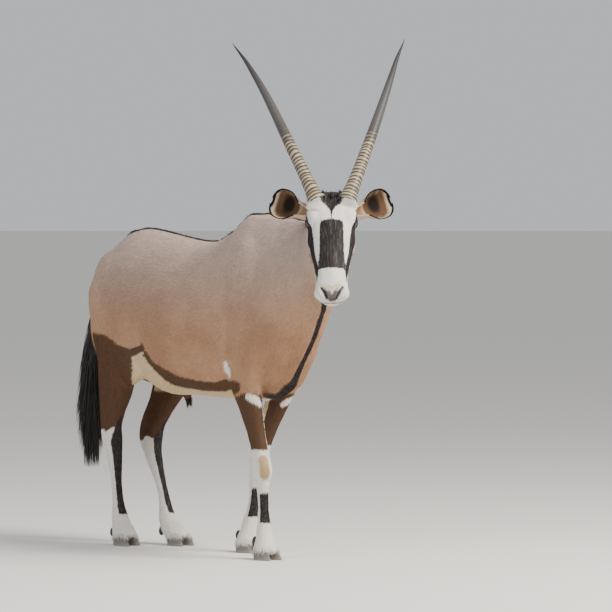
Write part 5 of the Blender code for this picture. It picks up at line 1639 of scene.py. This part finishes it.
def lie_of_coat(points, normals):
    """Which way the hair lies at each point."""
    own = seen_from(body_place, points)
    head = face_share(points)[:, None]
    neck = step_up(own[:, 0], 0.40, 0.56)[:, None]
    haunch = step_up(-own[:, 0], 0.20, 0.42)[:, None]
    low = 1 - step_up(own[:, 2], 0.52, 0.70)[:, None]
    over = step_up(own[:, 2], 1.02, 1.14)[:, None]
    trunk = np.array((-0.90, 0.0, -0.45)) * (1 - haunch) + np.array((-0.60, 0.0, -0.80)) * haunch
    trunk = trunk * (1 - over) + np.array((-1.0, 0.0, 0.0)) * over
    trunk = trunk * (1 - neck) + np.array((-0.75, 0.0, -0.65)) * neck
    body = trunk * (1 - low) + np.array((-0.08, 0.0, -1.0)) * low
    tail = step_up(-own[:, 0], 0.60, 0.63)[:, None]
    body = body * (1 - tail) + np.array((0.0, 0.0, -1.0)) * tail
    up_face = np.array(turned(head_place, (-1.0, 0.0, -0.15)))
    return pressed_flat(body * (1 - head) + up_face * head, normals)


flow = lie_of_coat(skin_coords, skin_normals)
flow = relax(flow, skin_edges, np.ones(len(flow)), 12)
flow = pressed_flat(flow, skin_normals)
print("hair points down at", round(100 * (flow[:, 2] < 0).mean()), "per cent of the vertices")

# %% [markdown]
# ## The short coat
# Tufts break the outline on every side. Each is a spike of four triangles, three corners at its
# root and one at its tip, and lies nearly flat. Roots are dealt out by area over the triangles
# of the skin, and closer together where the hair is short. A tuft keeps the markings of its
# root and a shade of its own.

# %% How dense and how long the coat is
TRUNK_DENSITY = 82000
LEG_DENSITY = 100000
HEAD_DENSITY = 190000
TRUNK_HAIR = 0.0135
LEG_HAIR = 0.0090
NOSE_HAIR = 0.0050
POLL_MORE = 0.0045
FOOT_LESS = 0.0025


def coat_density(points):
    """Tufts per square metre."""
    own = seen_from(body_place, points)
    head = face_share(points)
    leg = 1 - step_up(own[:, 2], 0.50, 0.60)
    dense = TRUNK_DENSITY + (LEG_DENSITY - TRUNK_DENSITY) * leg
    return dense * (1 - head) + HEAD_DENSITY * head


def coat_length(points):
    """The length of the tufts, shortest on the face and the feet."""
    own = seen_from(body_place, points)
    near = seen_from(head_place, points)
    leg = 1 - step_up(own[:, 2], 0.42, 0.66)
    length = TRUNK_HAIR + (LEG_HAIR - TRUNK_HAIR) * leg
    length -= FOOT_LESS * (1 - step_up(own[:, 2], 0.05, 0.20))
    face = NOSE_HAIR + POLL_MORE * step_up(-near[:, 0], -0.30, -0.02)
    head = face_share(points)
    return length * (1 - head) + face * head


def bare(points):
    """True where no hair grows: the nose pad, the nostrils, the lips and inside the lids."""
    near = seen_from(head_place, points)
    marks = markings(points)
    found = either(marks["nose"], marks["rim"]) > 0
    for place in eye_places.values():
        a, b, c = seen_from(place, points).T
        found |= (almond_reach(a, b) < 1.25) & (c > 0) & (np.hypot(a, b) < 0.03)
    return found & (near[:, 0] < 0.45)


# %% The skin's triangles, each with its share of the tufts
skin.data.calc_loop_triangles()
corners = np.empty(len(skin.data.loop_triangles) * 3, np.int32)
skin.data.loop_triangles.foreach_get("vertices", corners)
corners = corners.reshape(-1, 3)
first, second, third = (skin_coords[corners[:, i]] for i in range(3))
triangle_areas = np.linalg.norm(np.cross(second - first, third - first), axis=1) / 2
vertex_density = coat_density(skin_coords) * ~bare(skin_coords)
triangle_weights = triangle_areas * vertex_density[corners].mean(1)
TUFT_COUNT = int(triangle_weights.sum())
print("the skin's area is", round(triangle_areas.sum(), 2), "square metres")
print("it carries", TUFT_COUNT, "tufts")

# %% Roots dealt out over the skin
dealt = rng.uniform(0, triangle_weights.sum(), TUFT_COUNT)
chosen = np.searchsorted(np.cumsum(triangle_weights), dealt)
chosen = np.minimum(chosen, len(corners) - 1)
share_a, share_b = rng.uniform(size=(2, TUFT_COUNT))
over_half = share_a + share_b > 1
share_a = np.where(over_half, 1 - share_a, share_a)
share_b = np.where(over_half, 1 - share_b, share_b)
shares = np.stack((1 - share_a - share_b, share_a, share_b), 1)


def at_roots(values):
    """Values of the skin's vertices, blended at the tufts' roots."""
    picked = values[corners[chosen]]
    if values.ndim == 2:
        return (picked * shares[:, :, None]).sum(1)
    return (picked * shares).sum(1)


roots = at_roots(skin_coords)
root_normals = unit(at_roots(skin_normals))
root_flow = pressed_flat(at_roots(flow), root_normals)
root_marks = {name: at_roots(values) for name, values in skin_marks.items()}
print("roots that lie in black:", int((root_marks["black"] > 0).sum()))

# %% The tufts' own shapes
LIFT = (0.05, 0.16)
TURN_SPREAD = math.radians(6)
SUNK = 0.0006


def tuft_corners(roots, normals, ways, lengths, widths):
    """Four corners for each tuft: three round the root, and the tip."""
    turn = rng.normal(0, TURN_SPREAD, len(roots))[:, None]
    side = np.cross(normals, ways)
    way = ways * np.cos(turn) + side * np.sin(turn)
    side = np.cross(normals, way)
    lift = rng.uniform(*LIFT, len(roots))[:, None]
    tip = roots + (way + normals * lift) * lengths[:, None]
    base = roots - normals * SUNK
    half = widths[:, None] / 2
    left = base + side * half
    right = base - side * half
    top = base + normals * (SUNK + half * 0.9) + way * half
    return np.stack((left, right, top, tip), 1)


tuft_lengths = coat_length(roots) * rng.uniform(0.72, 1.28, TUFT_COUNT)
tuft_widths = 0.00035 + tuft_lengths * 0.105
tuft_places = tuft_corners(roots, root_normals, root_flow, tuft_lengths, tuft_widths)
TUFT_FACES = np.array(((0, 1, 2), (0, 2, 3), (1, 3, 2), (0, 3, 1)))
print("tufts are", round(1000 * tuft_lengths.min(), 1), "to", round(1000 * tuft_lengths.max(), 1),
      "mm long")

# %% [markdown]
# The coat is parted into pieces, so that none grows too large. Each has a map of its own for
# baking: the body is unrolled round its long axis, and each tuft is a small patch on it.

# %% The tufts' finish
def coat_finish():
    """The markings again, with a shade of its own for every tuft."""
    finish = Finish("coat_tufts", Roughness=0.62, Specular_IOR_Level=0.25)
    colour = coat_colour(finish, 0.004, 0.0012)
    shade = finish.between(finish.kept("shade"), 0.0, 1.0, 0.92, 1.22)
    grey = finish.add("CombineXYZ", {0: shade, 1: shade, 2: shade}).outputs[0]
    return finish.done(Base_Color=finish.mix(1.0, colour, grey, "MULTIPLY"))


coat_tufts = coat_finish()

# %% The coat's regions
own = seen_from(body_place, roots)
near = seen_from(head_place, roots)
on_head = face_share(roots) > 0.5
is_leg = (own[:, 2] < 0.58) & ~on_head
is_neck = (own[:, 0] > 0.46) & ~on_head & ~is_leg
rest = ~on_head & ~is_leg & ~is_neck
left = own[:, 1] > 0
REGIONS = {
    "head": (on_head & (near[:, 0] < 0.16), "face_coat"),
    "muzzle": (on_head & (near[:, 0] >= 0.16), "face_coat"),
    "neck": (is_neck, "coat"),
    "forelegs": (is_leg & (own[:, 0] > 0), "leg_coat"),
    "hindlegs": (is_leg & (own[:, 0] <= 0), "leg_coat"),
    "shoulder_left": (rest & left & (own[:, 0] > 0.16), "coat"),
    "shoulder_right": (rest & ~left & (own[:, 0] > 0.16), "coat"),
    "barrel_left": (rest & left & (np.abs(own[:, 0] + 0.04) <= 0.20), "coat"),
    "barrel_right": (rest & ~left & (np.abs(own[:, 0] + 0.04) <= 0.20), "coat"),
    "haunch_left": (rest & left & (own[:, 0] < -0.24), "coat"),
    "haunch_right": (rest & ~left & (own[:, 0] < -0.24), "coat"),
}
in_regions = sum(int(wanted.sum()) for wanted, _ in REGIONS.values())
print("the regions hold", in_regions, "of", len(roots), "tufts")

# %% Coat pieces
def unrolled(places):
    """Where points fall when they are unrolled round the longest of their axes, 0 to 1."""
    low, high = places.min(0), places.max(0)
    long_axis = int(np.argmax(high - low))
    one, two = [axis for axis in range(3) if axis != long_axis]
    middle = (low + high) / 2
    turn = np.arctan2(places[:, one] - middle[one], places[:, two] - middle[two])
    return (places[:, long_axis] - low[long_axis]) / (high - low)[long_axis], turn / math.tau + 0.5


LEAN_SPREAD = 0.10  # how unevenly the tufts face the light
for region, (wanted, slot) in REGIONS.items():
    count = int(wanted.sum())
    faces = (TUFT_FACES[None] + (np.arange(count) * 4)[:, None, None]).reshape(-1, 3)
    leaning = unit(root_normals[wanted] + rng.normal(0, LEAN_SPREAD, (count, 3)))
    piece = from_arrays(f"coat_{region}", tuft_places[wanted].reshape(-1, 3), faces, coat_tufts,
                        np.repeat(leaning, 4, axis=0))
    keep_marks(piece, {name: values[wanted] for name, values in root_marks.items()}, 4)
    keep_marks(piece, {"shade": rng.uniform(size=count)}, 4)
    bake_patches(piece, *unrolled(roots[wanted]), 4)
    print(piece.name, "has", count, "tufts")

# %% [markdown]
# ## Mane, forelock and other long hair
# A gemsbok's mane is short, dark and upright, from the withers to the poll, and goes on as a
# thin dark line of hair down the back. Roots are dealt out along the spine and dropped onto
# the skin. The same locks, shorter, make the forelock, the lashes and the hair in the ears.

# %% The mane and the dark line of the back
skin_tree = BVHTree.FromPolygons(skin_coords.tolist(), corners.tolist())
SPINE_LENGTH_SHARES = np.linspace(0, 1, len(SPINE))


def on_skin(points):
    """The nearest places on the skin, and its normals there."""
    hits = [skin_tree.find_nearest(point) for point in points.tolist()]
    return np.array([hit[0] for hit in hits]), np.array([hit[1] for hit in hits])


def along_spine(shares, spread):
    """Places above the spine's line, scattered to both sides, dropped onto the skin."""
    line = np.array(SPINE)
    points = [np.interp(shares, SPINE_LENGTH_SHARES, line[:, axis]) for axis in range(3)]
    points = np.stack(points, 1)
    points[:, 1] += rng.normal(0, spread, len(shares))
    points[:, 2] += 0.02
    return on_skin(put_from(body_place, points))


MANE_LOCKS = 3000
BACK_LOCKS = 2600
BACK_SHARE = 0.23
WITHERS_SHARE = 0.65
mane_shares = rng.uniform(WITHERS_SHARE, 1.0, MANE_LOCKS)
mane_roots, mane_normals = along_spine(mane_shares, 0.0060)
mane_ways = mane_normals * 0.7 + rng.normal(0, 0.12, (MANE_LOCKS, 3)) + (-0.75, 0.0, 0.0)
mane_lengths = rng.uniform(0.003, 0.008, MANE_LOCKS) * step_up(mane_shares, 0.63, 0.72)
mane_lengths += 0.007
mane = locks("mane_locks", mane_roots - mane_normals * 0.001, mane_ways,
             np.array((-0.006, 0.0, -0.002)) * np.ones((MANE_LOCKS, 1)), mane_lengths,
             rng.uniform(0.0007, 0.0013, MANE_LOCKS), dark_hair, 3)
bake_patches(mane, mane_shares, rng.uniform(size=MANE_LOCKS), mane["each"])
back_shares = rng.uniform(BACK_SHARE, WITHERS_SHARE + 0.05, BACK_LOCKS)
back_roots, back_normals = along_spine(back_shares, 0.0042)
back_lengths = rng.uniform(0.012, 0.020, BACK_LOCKS)
back_lengths *= 0.40 + 0.60 * step_up(back_shares, BACK_SHARE, 0.37)
back_ways = back_normals * 0.55 + rng.normal(0, 0.06, (BACK_LOCKS, 3)) + (-1.0, 0.0, 0.0)
back_line = locks("back_locks", back_roots - back_normals * 0.001, back_ways,
                  np.zeros((BACK_LOCKS, 3)), back_lengths,
                  rng.uniform(0.0006, 0.0011, BACK_LOCKS), dark_hair, 2)
bake_patches(back_line, back_shares, rng.uniform(size=BACK_LOCKS), back_line["each"])
print("the mane has", MANE_LOCKS, "locks, the back", BACK_LOCKS)

# %% The forelock
FORELOCK_LOCKS = 420
spots = np.stack((rng.uniform(-0.038, 0.004, FORELOCK_LOCKS),
                  rng.normal(0, 0.009, FORELOCK_LOCKS).clip(-0.015, 0.015),
                  np.full(FORELOCK_LOCKS, 0.03)), 1)
forelock_roots, forelock_normals = on_skin(put_from(head_place, spots))
forelock_ways = forelock_normals + np.array(turned(head_place, (-0.5, 0, 0.4)))
forelock_ways += rng.normal(0, 0.22, (FORELOCK_LOCKS, 3))
forelock = locks("forelock", forelock_roots - forelock_normals * 0.001, forelock_ways,
                 rng.normal(0, 0.003, (FORELOCK_LOCKS, 3)),
                 rng.uniform(0.008, 0.015, FORELOCK_LOCKS),
                 rng.uniform(0.0008, 0.0015, FORELOCK_LOCKS), dark_hair, 3)
bake_patches(forelock, *unrolled(forelock_roots), forelock["each"])
print("the forelock has", FORELOCK_LOCKS, "locks")

# %% The lashes
LASHES = 44
LASH_LENGTH = (0.007, 0.012)
lash_roots, lash_ways = [], []
for place in eye_places.values():
    a = np.linspace(-0.82, 0.82, LASHES) * LID_LENGTH
    b = LID_HEIGHTS[1] * (1 - (a / LID_LENGTH) ** 2) ** (1 / 1.7)
    c = np.sqrt((EYE_RADIUS + 0.0006) ** 2 - a**2 - b**2)
    lash_roots.append(put_from(place, np.stack((a, b, c), 1)))
    ways = np.stack((a * 14, 0.15 + 0 * a, 1.0 + 0 * a), 1)
    lash_ways.append(put_from(place, ways) - np.array(place.translation))
lash_roots = np.concatenate(lash_roots)
lash_ways = np.concatenate(lash_ways)
lash_count = len(lash_roots)
lashes = locks("eyelashes", lash_roots, lash_ways, np.full((lash_count, 3), (0, 0, 0.002)),
               rng.uniform(*LASH_LENGTH, lash_count), np.full(lash_count, 0.00028), dark_hair,
               3)
bake_patches(lashes, *unrolled(lash_roots), lashes["each"])
print("the lids have", lash_count, "lashes")

# %% Pale hair in the ears
EAR_HAIRS = 900
pale_hair = hair_finish("pale_hair", 0.6, (0.50, 0.36, 0.21), (0.72, 0.60, 0.44))
ear_roots, ear_ways = [], []
for side in SIDES.values():
    root, axis, across, opening = ear_axes(side)
    t = rng.uniform(0.10, 0.95, EAR_HAIRS)
    edge = rng.uniform(0.06, 0.20, EAR_HAIRS)
    edge = np.where(rng.uniform(size=EAR_HAIRS) > 0.5, 1 - edge, edge)
    places = ear_surface(side, edge, t)
    ear_roots.append(places)
    inward = np.where(edge > 0.5, -1.0, 1.0)[:, None] * across * 0.25
    ear_ways.append(inward + axis * 0.75 + opening * 0.30 + rng.normal(0, 0.18, (EAR_HAIRS, 3)))
ear_roots = np.concatenate(ear_roots)
hair_count = len(ear_roots)
ear_hair = locks("ear_hair", ear_roots, np.concatenate(ear_ways), np.zeros((hair_count, 3)),
                 rng.uniform(0.004, 0.010, hair_count), rng.uniform(0.0002, 0.0004, hair_count),
                 pale_hair, 3)
bake_patches(ear_hair, *unrolled(ear_roots), ear_hair["each"])
print("the ears have", hair_count, "long hairs")

# %% A white fringe over the hooves
FRINGE_LOCKS = 420
white_hair = hair_finish("white_hair", 0.6, (0.62, 0.57, 0.50), (0.82, 0.78, 0.72))
fringe_roots, fringe_ways = [], []
for leg in LEG_NAMES:
    for outward in (1, -1):
        shape = claw_shape(leg, outward)
        around = rng.uniform(size=FRINGE_LOCKS)
        top = shape(around, rng.uniform(0.70, 0.86, FRINGE_LOCKS))
        low = shape(around, np.full(FRINGE_LOCKS, 0.40))
        middle = top.mean(0) * (1, 1, 0)
        out = unit((top - middle) * (1, 1, 0))
        fringe_roots.append(top + out * 0.0030 + (0, 0, 0.004))
        fringe_ways.append(unit(low - top) + rng.normal(0, 0.08, (FRINGE_LOCKS, 3)))
fringe_roots = np.concatenate(fringe_roots)
fringe_count = len(fringe_roots)
fringe = locks("hoof_fringe", fringe_roots, np.concatenate(fringe_ways),
               np.zeros((fringe_count, 3)), 0.008 + 0.022 * rng.uniform(size=fringe_count) ** 1.6,
               rng.uniform(0.0007, 0.0013, fringe_count), white_hair, 2)
bake_patches(fringe, *unrolled(fringe_roots), fringe["each"])
print("the fringe has", fringe_count, "locks")

# %% A dark brush under the belly
BRUSH_LOCKS = 160
BRUSH_PLACE = (-0.106, 0.0, 0.536)
brush_spots = BRUSH_PLACE + rng.normal(0, 0.006, (BRUSH_LOCKS, 3))
brush_roots = on_skin(put_from(body_place, brush_spots))[0]
brush_ways = np.array((0.35, 0.0, -1.0)) + rng.normal(0, 0.18, (BRUSH_LOCKS, 3))
brush = locks("belly_brush", brush_roots, brush_ways, rng.normal(0, 0.002, (BRUSH_LOCKS, 3)),
              rng.uniform(0.012, 0.026, BRUSH_LOCKS), rng.uniform(0.0006, 0.0011, BRUSH_LOCKS),
              dark_hair, 3)
bake_patches(brush, *unrolled(brush_roots), brush["each"])
print("the brush has", BRUSH_LOCKS, "locks")
